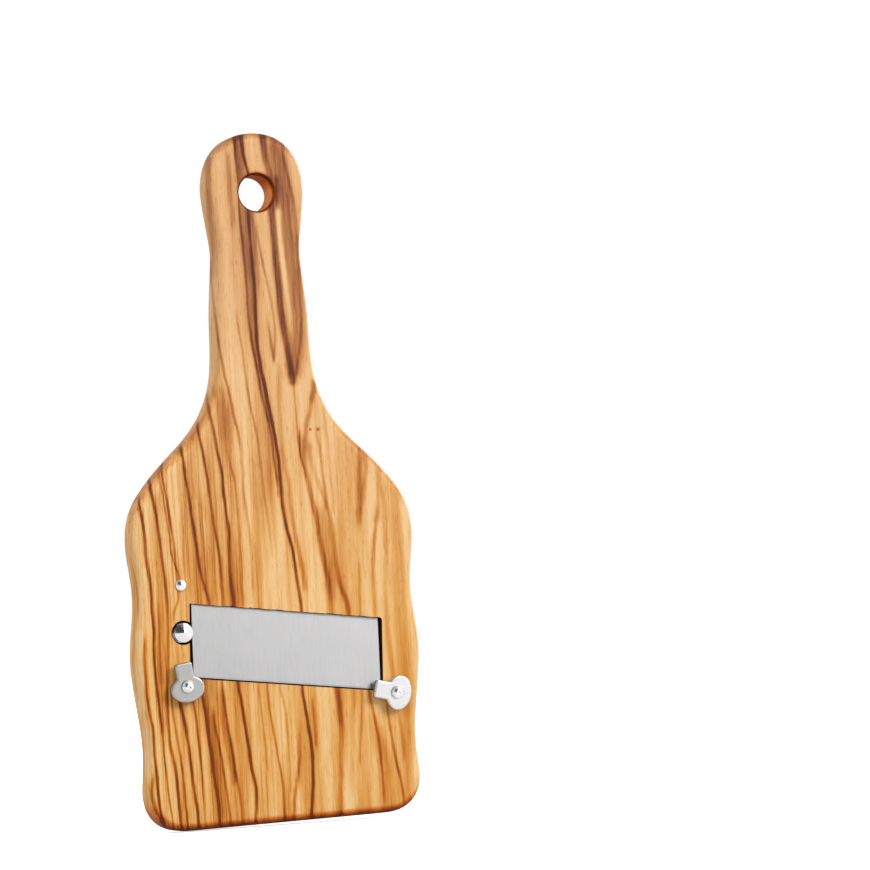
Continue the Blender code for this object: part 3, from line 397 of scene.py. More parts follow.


# Depth on the ramps is the ground and all features, each times its share; cut walls pass changes: a darker
# ramp and a darker band behind the face, painted shade in the recesses
def makeOliveWood(name, **changes):
    look = {**woodLook, **changes}
    material, tree, shader = newMaterial(name)
    coords = addNode(tree, "TexCoord")
    place = addNode(tree, "VectorMath SCALE", {0: coords.outputs["Object"], 3: 1 / mm})
    axes = addNode(tree, "SeparateXYZ", [place])
    depthIn = addNode(tree, "Math SUBTRACT", [axes.outputs["Y"], look["frontFace"]])
    across = addNode(tree, "Math MULTIPLY_ADD", [depthIn, look["lean"], axes.outputs["X"]])
    along = addNode(tree, "Math MULTIPLY_ADD", [depthIn, look["plunge"], axes.outputs["Z"]])
    place = addNode(tree, "CombineXYZ", [across, depthIn, along])
    for layer in ("wander", "fray"):
        across = addNode(tree, "Math ADD", [across, grainLayer(tree, place, layer)[1]])
    place = addNode(tree, "CombineXYZ", [across, depthIn, along])

    fibres, fibreDepth = grainLayer(tree, place, "fibres")
    region = {key: fadeProduct(tree, axes, fades) for key, fades in woodRegions.items()}
    calmed = addNode(tree, "MapRange", [region["calm"], 0, 1, 1.0, look["calmShare"]])
    banded = addNode(tree, "Math MULTIPLY", [region["banded"], calmed])
    drawn = addNode(tree, "Math MULTIPLY", [grainLayer(tree, place, "patches")[1], look["lineShare"]])
    normal = addNode(tree, "SeparateXYZ", [coords.outputs["Normal"]]).outputs["Z"]
    upright = addNode(tree, "Math ABSOLUTE", [normal])
    features = [
        (fibreDepth, 1.0),
        (grainLayer(tree, place, "bands")[1], banded),
        (grainLayer(tree, place, "lines")[1], region["lined"]),
        (grainLayer(tree, place, "threads")[1], region["lined"]),
        (grainLayer(tree, place, "wide")[1], 1.0),
        (grainLayer(tree, place, "pores")[1], 1.0),
        (region["upperBody"], look["upperBody"]),
        (region["underClip"], look["underClip"]),
        (region["grip"], look["grip"]),
        (grainLineDepth(tree, across, along), drawn),
        (addNode(tree, "MapRange", [upright, *look["endTilt"], 0, 1]), look["endGrain"]),
        # painted shade: deeper on faces that look down
        (addNode(tree, "MapRange", [normal, *look["undersideShadeTilt"], 1, 0]), look["undersidePaintedShade"]),
        # painted shade on cut walls just behind the face
        (addNode(tree, "MapRange", [depthIn, *look["lipReach"], 1, 0]), look["lip"]),
    ]
    spot = addNode(tree, "CombineXYZ", [axes.outputs["X"], depthIn, axes.outputs["Z"]])
    for x, z, radius in knots:
        away = addNode(tree, "VectorMath DISTANCE", [spot, (x, 0, z)]).outputs["Value"]
        inner, outer = (radius * share for share in look["knotFade"])
        features.append((addNode(tree, "MapRange", [away, inner, outer, 1, 0]), look["knot"]))
    depth = look["ground"]
    for feature, share in features:
        depth = addNode(tree, "Math MULTIPLY_ADD", [feature, share, depth])

    handleShare = addNode(tree, "MapRange", [along, *look["handleBlend"], 0, 1])
    # painted bounce light: faces that look down blend into the brighter orange ramp
    bounceLit = addNode(tree, "MapRange", [normal, *look["bounceLightTilt"], look["stainShare"], 0])
    colour = fillRamp(addNode(tree, "ValToRGB", [depth]), look["ramp"])
    for share, ramp in ((handleShare, "handleRamp"), (bounceLit, "bounceLightRamp")):
        tone = fillRamp(addNode(tree, "ValToRGB", [depth]), look[ramp])
        colour = addNode(tree, "Mix", {0: share, 6: colour, 7: tone}, data_type="RGBA").outputs[2]
    shown = grainLayers["fibres"][4]
    rough = addNode(tree, "MapRange", [fibres, *shown, *look["roughness"]])
    relief = {"Strength": look["reliefStrength"], "Distance": look["relief"] * mm, "Height": fibres}
    bump = addNode(tree, "Bump", relief)
    fillInputs(tree, shader, {"Base Color": colour, "Roughness": rough, "Normal": bump})
    fillInputs(tree, shader, {"IOR": 1.5, "Specular IOR Level": look["gloss"]})
    return material


# Metal whose colour is scaled by a shade; its roughness and relief follow a noise between the "shown" values
metalLook = dict(shown=(0.2, 0.8), relief=0.01)


def fillMetal(tree, shader, colour, shade, noise, roughness, strength):
    base = addNode(tree, "VectorMath SCALE", {0: linear(colour)[:3], 3: shade})
    rough = addNode(tree, "MapRange", [noise, *metalLook["shown"], *roughness])
    relief = {"Strength": strength, "Distance": metalLook["relief"] * mm, "Height": noise}
    bump = addNode(tree, "Bump", relief)
    fillInputs(tree, shader, {"Base Color": base, "Metallic": 1.0, "Roughness": rough, "Normal": bump})


# Stainless steel, rolled and then brushed in one direction: fine parallel scratches that spread the light
# "along" is the object axis that they follow, "spacing" their distance in mm, as coarse as a pixel shows
brushing = dict(length=30, shown=(0.25, 0.75), roughness=0.04, strength=0.15, cloud=9, cloudShade=0.02)


def makeBrushedSteel(name, colour, roughness, along, spacing, contrast):
    material, tree, shader = newMaterial(name)
    place = addNode(tree, "TexCoord").outputs["Object"]
    scale = [1 / mm / spacing] * 3
    scale[along] = 1 / mm / brushing["length"]
    stretched = addNode(tree, "VectorMath MULTIPLY", [place, scale])
    scratches = addNode(tree, "TexNoise", {"Vector": stretched, "Scale": 1.0, "Detail": 3.0})
    clouds = addNode(tree, "TexNoise", {"Vector": place, "Scale": 1 / mm / brushing["cloud"], "Detail": 2.0})
    clouded = addNode(tree, "MapRange", [clouds, 0, 1, -brushing["cloudShade"], brushing["cloudShade"]])
    brushed = addNode(tree, "MapRange", [scratches, *brushing["shown"], 1 - contrast, 1 + contrast])
    shade = addNode(tree, "Math ADD", [brushed, clouded])
    spread = (roughness - brushing["roughness"], roughness + brushing["roughness"])
    fillMetal(tree, shader, colour, shade, scratches, spread, brushing["strength"])
    return material


# Turned, drawn or polished metal: a mirror softened by faint tool marks and a little wear
turning = dict(shade=(0.94, 1.04), roughness=(0.8, 1.25), strength=0.08)


def makeTurnedMetal(name, colour, roughness, markSize=0.5):
    material, tree, shader = newMaterial(name)
    place = addNode(tree, "TexCoord").outputs["Object"]
    wear = addNode(tree, "TexNoise", {"Vector": place, "Scale": 1 / mm / markSize, "Detail": 3.0})
    shade = addNode(tree, "MapRange", [wear, *metalLook["shown"], *turning["shade"]])
    spread = [roughness * share for share in turning["roughness"]]
    fillMetal(tree, shader, colour, shade, wear, spread, turning["strength"])
    return material


planedOlive = makeOliveWood("planedOliveWood")
# Hole and throat walls: a darker ramp and a darker band behind the face, painted shade in the recesses
shadedCutRamp = ((0.0, "#F6BC7C"), (0.25, "#E2964A"), (0.5, "#C06A22"), (0.75, "#8C420F"), (1.0, "#5E2A0A"))
shadedCutOlive = makeOliveWood(
    "routedOliveWoodPaintedShade",
    ramp=shadedCutRamp,
    handleRamp=shadedCutRamp,
    stainShare=0.0,
    ground=0.0,
    lineShare=0.3,
    lip=0.6,
    endGrain=0.2,
    roughness=(0.65, 0.78),
    gloss=0.1,
)
# Bores and the blade's pocket: near-black wood, painted shade deep in the holes
boreShadeRamp = ((0.0, "#4A2A14"), (1.0, "#20100A"))
boreShadeOlive = makeOliveWood(
    "drilledOliveWoodPaintedShade", ramp=boreShadeRamp, handleRamp=boreShadeRamp, stainShare=0.0, roughness=(0.75, 0.88), gloss=0.0
)
bladeSteel = makeBrushedSteel("bladeBrushedSteel", "#A8A7A7", 0.34, along=2, spacing=0.4, contrast=0.05)
# the left clip's steel is a darker copy of the right clip's: painted shade
leftClipSteel = makeBrushedSteel("leftClipSatinSteel", "#ADABA9", 0.38, along=0, spacing=0.3, contrast=0.03)
rightClipSteel = makeBrushedSteel("rightClipSatinSteel", "#D2D2D2", 0.38, along=0, spacing=0.3, contrast=0.03)
sheetSteel = makeBrushedSteel("strapBrushedSteel", "#C6C6C8", 0.36, along=2, spacing=0.35, contrast=0.05)
washerSteel = makeTurnedMetal("washerStampedSteel", "#C8C8CA", 0.32, 0.8)
rivetSteel = makeTurnedMetal("rivetPolishedSteel", "#E6E6E8", 0.22)
screwSteel = makeTurnedMetal("screwPolishedSteel", "#E2E2E4", 0.12)
knobSteel = makeTurnedMetal("knobTurnedSteel", "#D8D8DA", 0.2)
springSteel = makeTurnedMetal("springDrawnSteel", "#BDBDC0", 0.25)
bushBrass = makeTurnedMetal("bushTurnedBrass", "#D9B06A", 0.22)
print("materials made")


# Meshes
# Quads between the rows of a grid whose columns run round and close; wrapped rows close too
def gridFaces(rows, columns, wrapRows=False):
    row = np.arange(rows if wrapRows else rows - 1)[:, None]
    column = np.arange(columns)[None, :]
    after = (column + 1) % columns
    nextRow = (row + 1) % rows
    here, below = row * columns, nextRow * columns
    corners = [here + column, here + after, below + after, below + column]
    return np.stack(corners, -1).reshape(-1, 4).tolist()


# Merges what meets, turns the faces outwards, and shades all but the sharp edges smooth
def cleanMesh(mesh, smoothAngle):
    shape = bmesh.new()
    shape.from_mesh(mesh)
    bmesh.ops.remove_doubles(shape, verts=shape.verts, dist=0.0005 * mm)
    bmesh.ops.dissolve_degenerate(shape, edges=shape.edges, dist=0.0005 * mm)
    bmesh.ops.recalc_face_normals(shape, faces=shape.faces)
    shape.to_mesh(mesh)
    shape.free()
    mesh.shade_smooth()
    mesh.set_sharp_from_angle(angle=math.radians(smoothAngle))


# An object at the origin from points in mm and their faces
def makeObject(name, points, faces, material, smoothAngle=30):
    mesh = bpy.data.meshes.new(name)
    mesh.from_pydata((np.asarray(points).reshape(-1, 3) * mm).tolist(), [], faces)
    mesh.materials.append(material)
    cleanMesh(mesh, smoothAngle)
    piece = bpy.data.objects.new(name, mesh)
    scene.collection.objects.link(piece)
    return piece


# Replaces a piece's mesh by what its modifiers make of it
def applyModifiers(piece):
    bpy.context.view_layer.update()
    graph = bpy.context.evaluated_depsgraph_get()
    made = bpy.data.meshes.new_from_object(piece.evaluated_get(graph))
    old = piece.data
    piece.modifiers.clear()
    piece.data = made
    made.name = piece.name
    bpy.data.meshes.remove(old)


# Cuts one piece with others; the cut walls keep the cutter's material
def cutWith(piece, cutters):
    for cutter in cutters:
        step = piece.modifiers.new(cutter.name, "BOOLEAN")
        step.operation = "DIFFERENCE"
        step.solver = "EXACT"
        step.material_mode = "TRANSFER"
        step.object = cutter
    applyModifiers(piece)
    for cutter in cutters:
        mesh = cutter.data
        bpy.data.objects.remove(cutter)
        bpy.data.meshes.remove(mesh)


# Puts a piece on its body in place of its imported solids
def finishPiece(piece, body, slot, *nodes):
    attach(piece, body)
    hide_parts(*nodes)
    print(f"{piece.name}: {len(piece.data.polygons)} faces")
    return piece


# Each corner of a profile becomes a parabola that leaves the straight runs "size" mm before and after it
def easeCorners(profile, size, steps=3, closed=False):
    corners = np.asarray(profile, float)
    back = np.roll(corners, 1, 0) - corners
    ahead = np.roll(corners, -1, 0) - corners
    backLength = np.linalg.norm(back, axis=1, keepdims=True)
    aheadLength = np.linalg.norm(ahead, axis=1, keepdims=True)
    starts = corners + back / backLength * np.minimum(size, backLength * 0.45)
    ends = corners + ahead / aheadLength * np.minimum(size, aheadLength * 0.45)
    t = np.linspace(0, 1, steps + 1)[None, :, None]
    curve = (1 - t) ** 2 * starts[:, None] + 2 * t * (1 - t) * corners[:, None] + t**2 * ends[:, None]
    curve = curve.reshape(-1, corners.shape[1])
    if closed:
        return curve
    return np.vstack([corners[:1], curve[steps + 1 : -steps - 1], corners[-1:]])


# A turned piece about Y at (x, z): row i is a circle of radius r_i at depth y_i, which "shape" may change
# with the angle. Ends on the axis close in a fan; a ring closes on itself.
def turnedGrid(profile, x, z, sides=72, ring=False, shape=None):
    profile = np.asarray(profile, float)
    startPole = profile[0, 0] == 0
    endPole = profile[-1, 0] == 0
    rows = profile[(1 if startPole else 0) : (-1 if endPole else None)]
    angle = np.linspace(0, math.tau, sides, endpoint=False)[None, :]
    radius = rows[:, :1] + 0 * angle
    depth = rows[:, 1:2] + 0 * angle
    if shape:
        radius = shape(radius, depth, angle + 0 * radius)
    points = np.stack([x + radius * np.cos(angle), depth, z + radius * np.sin(angle)], -1).reshape(-1, 3)
    faces = gridFaces(len(rows), sides, ring)
    column = np.arange(sides)
    after = (column + 1) % sides
    for pole, start, y in ((startPole, 0, profile[0, 1]), (endPole, (len(rows) - 1) * sides, profile[-1, 1])):
        if pole:
            faces += np.stack([start + column, start + after, np.full(sides, len(points))], -1).tolist()
            points = np.vstack([points, [[x, y, z]]])
        elif not ring:
            faces.append((start + column).tolist())
    return points, faces


# Quarter of a dome from its crown to its rim: radius R sin(a), depth rim - H cos(a)
def domeProfile(radius, height, rimY, steps=10):
    angle = np.linspace(0, math.pi / 2, steps + 1)
    return np.stack([radius * np.sin(angle), rimY - height * np.cos(angle)], -1)


# Outward normals of a closed outline in x and z
def outlineNormals(outline):
    ahead = np.roll(outline, -1, 0)
    along = ahead - np.roll(outline, 1, 0)
    normals = np.stack([along[:, 1], -along[:, 0]], -1) / np.linalg.norm(along, axis=1, keepdims=True)
    area = np.sum(outline[:, 0] * ahead[:, 1] - ahead[:, 0] * outline[:, 1])
    return normals * np.sign(area)


# A plate: its outline is drawn in by rim (1 - sin a) as the depth grows by rim (1 - cos a), front and back,
# and each flat face has one more row, "margin" further in
def plateGrid(outline, frontY, backY, rim, steps=5, margin=0.3):
    turn = np.linspace(0, math.pi / 2, steps + 1)
    inset = rim * (1 - np.sin(turn))
    depth = rim * (1 - np.cos(turn))
    insets = np.concatenate([[rim + margin], inset, inset[::-1], [rim + margin]])
    depths = np.concatenate([[frontY], frontY + depth, backY - depth[::-1], [backY]])
    flat = outline[None] - insets[:, None, None] * outlineNormals(outline)[None]
    across = np.broadcast_to(depths[:, None], flat.shape[:2])
    points = np.stack([flat[..., 0], across, flat[..., 1]], -1).reshape(-1, 3)
    count = len(outline)
    faces = gridFaces(len(depths), count)
    faces.append(list(range(count)))
    faces.append(list(range(len(points) - count, len(points))))
    return points, faces


# Board
board = dict(
    length=229.2,
    width=98.8,
    thickness=12.0,
    edgeRadius=3.0,
    handleWidth=34.0,
    handleEndLength=20.0,
    footCorner=13.0,
    roundness=2.3,
    footHalfWidth=47.6,
    footTiltRise=0.9,
    footTiltReach=22.0,
    holeDiameter=12.1,
    holeRim=1.45,
    sandedShare=0.22,  # of the rim's depth, as far as the sandpaper reached
    holeBelowEnd=20.2,
    sharpAngle=28,
    # height share, then half width as shares of the board's and of the handle's half width
    outlineShares=(
        (0.123, 0.946, 0.0),
        (0.236, 1.0, 0.0),
        (0.332, 0.964, 0.0),
        (0.411, 0.996, 0.0),
        (0.459, 0.955, 0.0),
        (0.498, 0.746, 0.254),
        (0.533, 0.510, 0.490),
        (0.559, 0.320, 0.680),
        (0.590, 0.154, 0.846),
        (0.629, 0.037, 0.963),
        (0.673, 0.0, 0.976),
        (0.738, 0.0, 0.950),
        (0.795, 0.0, 0.887),
        (0.830, 0.0, 0.857),
        (0.869, 0.0, 0.926),
    ),
)
frontY = -board["thickness"] / 2
backY = board["thickness"] / 2
footZ = board["holeBelowEnd"] - board["length"]
overrun = 2.0

# Blade and its pocket; places along and across it are from its centre
blade = dict(
    length=65.1,
    height=24.0,
    thickness=1.4,
    skew=math.tan(math.radians(6.8)),
    lean=math.tan(math.radians(2.2)),
    pitch=math.tan(math.radians(4.1)),
    proud=0.2,
    grindWidth=4.0,
    edgeLand=0.15,
    honedWidth=0.5,
    honedDrop=0.05,
    brokenEdge=0.06,
    hingeX=34.6,
    centreZ=-151.3,
    restTilt=0.43538,
    lowestTilt=-0.17415,
)
pocket = dict(
    left=0.9,
    right=1.0,
    top=0.11,
    slit=0.45,
    floorGap=0.3,
    cornerRadius=1.0,
    tear=0.22,  # how far the router tore the fibres along the top edge
    tearSpots=33,
    tearShares=(0.6, 0.4),  # of long tears and of short ones, which come this much denser
    tearDensity=5.3,
    tearRange=(-0.4, 1.4),
    tearSeed=7,
)
throat = dict(lipDepth=0.8, rise=5.9, sideLedge=5.0, topLedge=6.0, backLedge=4.0, frontDepth=1.5)
halfLength = blade["length"] / 2
halfHeight = blade["height"] / 2
bladeBackY = frontY - blade["proud"] + halfHeight * blade["pitch"] + blade["thickness"]


# Smooth curve through points: each span is the cubic that leaves along the line between its neighbours
def smoothCurve(points, steps):
    ends = np.vstack([points[:1], points, points[-1:]])
    a, b, c, d = ends[:-3], ends[1:-2], ends[2:-1], ends[3:]
    t = (np.arange(steps) / steps)[:, None, None]
    curve = b + ((c - a) * t + (2 * a - 5 * b + 4 * c - d) * t**2 + (3 * b - a - 3 * c + d) * t**3) / 2
    return np.vstack([curve.transpose(1, 0, 2).reshape(-1, points.shape[1]), points[-1:]])


# Quarter of a superellipse: x = reach cos^(2/n), z = reach sin^(2/n)
def superellipse(reachX, reachZ, roundness, steps):
    angle = np.linspace(0, math.pi / 2, steps + 1)
    power = 2 / roundness
    return np.stack([reachX * np.cos(angle).clip(0) ** power, reachZ * np.sin(angle) ** power], -1)


# Points "apart" mm apart along a closed outline; each is then the mean of its neighbours, "reach" of them to
# each side, under a bell of "bell" mm
def evenOutline(outline, apart=0.8, bell=1.6, reach=6):
    closed = np.vstack([outline, outline[:1]])
    travelled = np.concatenate([[0], np.cumsum(np.linalg.norm(np.diff(closed, axis=0), axis=1))])
    count = round(travelled[-1] / apart)
    stops = np.arange(count) * travelled[-1] / count
    even = np.stack([np.interp(stops, travelled, closed[:, axis]) for axis in (0, 1)], -1)
    shifts = np.arange(-reach, reach + 1)
    weights = np.exp(-0.5 * (shifts * apart / bell) ** 2)
    return sum(weight * np.roll(even, shift, 0) for weight, shift in zip(weights / weights.sum(), shifts))


# The board's outline in x and z: foot corner, curved side and handle end, mirrored, the foot a little tilted
def boardOutline():
    corner = superellipse(board["footCorner"], board["footCorner"], board["roundness"], 28)[::-1]
    straight = board["footHalfWidth"] - board["footCorner"]
    foot = np.stack([straight + corner[:, 0], board["footCorner"] - corner[:, 1]], -1)
    end = superellipse(board["handleWidth"] / 2, board["handleEndLength"], board["roundness"], 40)
    end = end + (0, board["length"] - board["handleEndLength"])
    shares = np.array(board["outlineShares"])
    halves = (shares[:, 1] * board["width"] + shares[:, 2] * board["handleWidth"]) / 2
    side = np.stack([halves, shares[:, 0] * board["length"]], -1)
    side = smoothCurve(np.vstack([foot[-1:], side, end[:1]]), 12)
    right = np.vstack([foot[:-1], side, end[1:]])
    whole = np.vstack([right, (right * (-1, 1))[-2::-1]])
    fade = np.clip(1 - whole[:, 1] / board["footTiltReach"], 0, None)
    lift = board["footTiltRise"] * whole[:, 0] / board["footHalfWidth"] * fade
    return evenOutline(np.stack([whole[:, 0], footZ + whole[:, 1] + lift], -1))


# From the blade's own (along, across, depth) to (x, y, z): skewed, leaning and tilted on its hinge
def bladeToBoard(along, across, depth, tilt):
    x = along + blade["lean"] * across - halfLength
    z = across - blade["skew"] * along + blade["centreZ"]
    y = depth - bladeBackY
    turn = math.radians(tilt)
    turnedX = x * math.cos(turn) - y * math.sin(turn)
    turnedY = x * math.sin(turn) + y * math.cos(turn)
    return np.stack([turnedX + blade["hingeX"], turnedY + bladeBackY, z], -1)


# Depth of the blade's back at a place across it
def bladeBackAt(across):
    return bladeBackY + across * blade["pitch"]


# The pocket: a rounded rectangle in the blade's frame, its top edge torn, sunk to below the blade
def pocketCutter():
    low, high = -halfHeight - pocket["slit"], halfHeight + pocket["top"]
    left, right = -halfLength - pocket["left"], halfLength + pocket["right"]
    corner = pocket["cornerRadius"]
    turn = np.linspace(0, math.pi / 2, 9)
    topRight = np.stack([right - corner + corner * np.cos(turn), high - corner + corner * np.sin(turn)], -1)
    topAlong = np.linspace(right - corner, left, 260)[1:-1]
    tearing = np.random.default_rng(pocket["tearSeed"]).normal(size=(2, pocket["tearSpots"]))
    spots = np.linspace(left, right, pocket["tearSpots"])
    longShare, shortShare = pocket["tearShares"]
    torn = longShare * np.interp(topAlong, spots, tearing[0])
    torn += shortShare * np.interp(topAlong * pocket["tearDensity"] % right, spots, tearing[1])
    top = np.stack([topAlong, high + pocket["tear"] * np.clip(torn, *pocket["tearRange"])], -1)
    outline = np.vstack([[[right, low]], topRight, top, [[left, high], [left, low]]])
    along, across = outline[:, 0], outline[:, 1]
    outside = np.full(len(outline), frontY - overrun)
    floor = bladeBackAt(across) + pocket["floorGap"]
    points = np.vstack([bladeToBoard(along, across, y, blade["lowestTilt"]) for y in (outside, floor)])
    count = len(outline)
    faces = gridFaces(2, count) + [list(range(count)), list(range(count, 2 * count))]
    # the pocket's walls take the near-black wood: painted shade
    return makeObject("pocketCutter", points, faces, boreShadeOlive)


# The throat: a ramp from under the cutting edge up to a window in the back, its walls in painted shade
def throatCutter():
    low = -halfHeight - pocket["slit"]
    beyond = 1 + overrun / board["thickness"]
    section = np.array(
        [
            (low, frontY + throat["lipDepth"]),
            (low + throat["rise"] * beyond, backY + overrun),
            (halfHeight - throat["backLedge"], backY + overrun),
            (halfHeight - throat["topLedge"], frontY + throat["frontDepth"]),
        ]
    )
    left, right = -halfLength + throat["sideLedge"], halfLength - throat["sideLedge"]
    points = np.vstack([bladeToBoard(np.full(4, end), *section.T, 0.0) for end in (left, right)])
    faces = gridFaces(2, 4) + [[0, 1, 2, 3], [4, 5, 6, 7]]
    return makeObject("throatCutter", points, faces, shadedCutOlive)


# The hanging hole: a bore whose rims roll over both faces by a quarter circle. The outermost part of each was
# sanded with the face, so it keeps the planed wood's look; the rest of the bore is in the cut walls' painted
# shade
def holeCutter():
    radius, rim = board["holeDiameter"] / 2, board["holeRim"]
    turn = np.linspace(0, math.pi / 2, 9)
    half = np.stack([radius + rim * (1 - np.sin(turn)), backY - rim * (1 - np.cos(turn))], -1)
    rear = np.vstack([[(0, backY + overrun), (radius + rim, backY + overrun)], half])
    profile = np.vstack([rear * (1, -1), rear[::-1]])
    cutter = makeObject("holeCutter", *turnedGrid(profile, 0, 0, 96), shadedCutOlive, smoothAngle=40)
    cutter.data.materials.append(planedOlive)
    centres = np.empty(3 * len(cutter.data.polygons))
    cutter.data.polygons.foreach_get("center", centres)
    sanded = backY - np.abs(centres[1::3] / mm) < board["sandedShare"] * rim
    cutter.data.polygons.foreach_set("material_index", sanded.astype(np.int32))
    return cutter


# A round cutter along Y, from one depth to another; by default its walls take the near-black painted shade
def drill(name, radius, x, z, startY, endY, material=boreShadeOlive, sides=48):
    profile = [(0, startY), (radius, startY), (radius, endY), (0, endY)]
    return makeObject(name, *turnedGrid(profile, x, z, sides), material)


screwX, screwZ = axisOf("adjusting_screw")
pinX, pinZ = axisOf("bridge_pin")
leftX, leftZ = axisOf("left_clip_pivot")
rightX, rightZ = axisOf("right_clip_pivot")
holes = dict(screwHole=4.0, screwHoleEnd=-1.35, screwBore=2.15, pinBore=1.4, pivotBore=1.65)  # radii

boardGrid = plateGrid(boardOutline(), frontY, backY, board["edgeRadius"], steps=10)
boardPiece = makeObject("paddleBoard", *boardGrid, planedOlive)
through = (frontY - overrun, backY + overrun)
cutWith(
    boardPiece,
    [
        holeCutter(),
        pocketCutter(),
        throatCutter(),
        drill(
            "screwHoleCutter", holes["screwHole"], screwX, screwZ, through[0], holes["screwHoleEnd"], sides=64
        ),
        drill("screwBoreCutter", holes["screwBore"], screwX, screwZ, *through),
        drill("pinBoreCutter", holes["pinBore"], pinX, pinZ, *through),
        drill("leftBoreCutter", holes["pivotBore"], leftX, leftZ, *through),
        drill("rightBoreCutter", holes["pivotBore"], rightX, rightZ, *through),
    ],
)
boardPiece.data.shade_smooth()
boardPiece.data.set_sharp_from_angle(angle=math.radians(board["sharpAngle"]))
weights = boardPiece.modifiers.new("faceWeights", "WEIGHTED_NORMAL")
weights.keep_sharp = True
weights.weight = 100
applyModifiers(boardPiece)
finishPiece(boardPiece, "frame", "olive_wood", "board")


# Blade: a section of six corners carried along it, its lower edge honed in front and ground at the back
def makeBlade():
    low, high = -halfHeight, halfHeight
    ground = low + blade["grindWidth"]
    honed = low + blade["honedWidth"]
    front = bladeBackY - blade["thickness"]
    section = np.array(
        [
            (low, front + low * blade["pitch"] + blade["honedDrop"]),
            (low, front + low * blade["pitch"] + blade["edgeLand"]),
            (ground, bladeBackAt(ground)),
            (high, bladeBackAt(high)),
            (high, bladeBackAt(high) - blade["thickness"]),
            (honed, front + honed * blade["pitch"]),
        ]
    )
    count = len(section)
    ends = (-halfLength, halfLength)
    points = np.vstack([bladeToBoard(np.full(count, end), *section.T, blade["restTilt"]) for end in ends])
    faces = gridFaces(2, count) + [list(range(count)), list(range(count, 2 * count))]
    piece = makeObject("skewBlade", points, faces, bladeSteel, smoothAngle=4)
    bevel = piece.modifiers.new("brokenEdges", "BEVEL")
    bevel.width = blade["brokenEdge"] * mm
    bevel.segments = 2
    bevel.limit_method = "ANGLE"
    bevel.angle_limit = math.radians(30)
    applyModifiers(piece)
    cleanMesh(piece.data, 4)
    return finishPiece(piece, "blade", "blade_steel", "blade")


makeBlade()

# Adjusting screw: cone, flange, groove for the blade, rear flange, threaded shank and thinner end
screw = dict(
    headRadius=3.2,
    coneHeight=1.1,
    tipRadius=0.12,
    flange=0.6,
    neckRadius=2.3,
    grooveWidth=1.9,
    shankRadius=2.0,
    shankPitch=0.7,
    threadStart=4.0,
    shoulderY=14.8,
    endRadius=1.5,
    endPitch=0.5,
    endThreadStart=22.4,
    endRow=0.15,  # from the last row of its thread to the tip
    endRoot=0.05,
    endChamfer=(0.3, 0.12),
    runOut=0.3,  # from the shank's thread to the shoulder
    threadShare=0.61,  # its depth as a share of the pitch
    threadSteps=8,  # rows for each pitch
    lead=0.4,
    ease=0.12,
)


# Thread: the radius falls by a V as (depth / pitch - angle / turn) goes from 0 to 1, and fades at both ends
def threadRadius(radius, depth, angle, pitch, start, end):
    phase = (depth / pitch - angle / math.tau) % 1.0
    v = np.abs(phase * 2 - 1)
    runIn = np.clip((depth - start) / pitch, 0, 1) * np.clip((end - depth) / (pitch * 0.4), 0, 1)
    return radius - screw["threadShare"] * pitch * v * runIn


def makeScrew():
    low, high = nodeBox("adjusting_screw")
    tipY, endY = low[1], high[1]
    flangeY = tipY + screw["coneHeight"]
    grooveY = flangeY + screw["flange"]
    rearY = grooveY + screw["grooveWidth"]
    rearEndY = rearY + screw["flange"]
    head = easeCorners(
        [
            (0, tipY),
            (screw["tipRadius"], tipY),
            (screw["headRadius"], flangeY),
            (screw["headRadius"], grooveY),
            (screw["neckRadius"], grooveY),
            (screw["neckRadius"], rearY),
            (screw["headRadius"], rearY),
            (screw["headRadius"], rearEndY),
            (screw["shankRadius"], rearEndY),
            (screw["shankRadius"], rearEndY + screw["lead"]),
        ],
        screw["ease"],
    )
    shoulderY, endRadius = screw["shoulderY"], screw["endRadius"]
    chamfer, chamferLength = screw["endChamfer"]
    shankY = np.arange(screw["threadStart"], shoulderY, screw["shankPitch"] / screw["threadSteps"])
    shank = np.stack([np.full(len(shankY), screw["shankRadius"]), shankY], -1)
    endStep = screw["endPitch"] / screw["threadSteps"]
    tailY = np.arange(screw["endThreadStart"], endY - screw["endRow"], endStep)
    tail = np.stack([np.full(len(tailY), endRadius), tailY], -1)
    step = [(screw["shankRadius"], shoulderY), (endRadius, shoulderY)]
    endRoot = (endRadius - screw["endRoot"], endY - chamferLength)
    end = [endRoot, (endRadius - chamfer, endY), (0, endY)]
    profile = np.vstack([head, shank, step, tail, end])

    def threads(radius, depth, angle):
        shankSpan = (screw["shankPitch"], screw["threadStart"], shoulderY - screw["runOut"])
        endSpan = (screw["endPitch"], screw["endThreadStart"], endY)
        onShank = threadRadius(radius, depth, angle, *shankSpan)
        onEnd = threadRadius(radius, depth, angle, *endSpan)
        return np.where(depth > screw["endThreadStart"], onEnd, onShank)

    grid = turnedGrid(profile, screwX, screwZ, shape=threads)
    piece = makeObject("thicknessScrew", *grid, screwSteel, smoothAngle=25)
    return finishPiece(piece, "adjuster", "polished_steel", "adjusting_screw")


makeScrew()

# Knob: flutes round its rim, a plain collar in front and a shallow seat for the nut behind
knob = dict(
    rimRadius=7.0,
    collarRadius=5.0,
    collarHeight=1.5,
    chamfer=0.6,
    seatBorder=(0.8, 1.3),
    seatDepth=0.25,
    flutes=20,
    fluteDepth=0.7,
    fluteStart=5.1,  # radius
    fluteRunIn=1.1,
    boreRadius=1.65,
    ease=0.22,
)


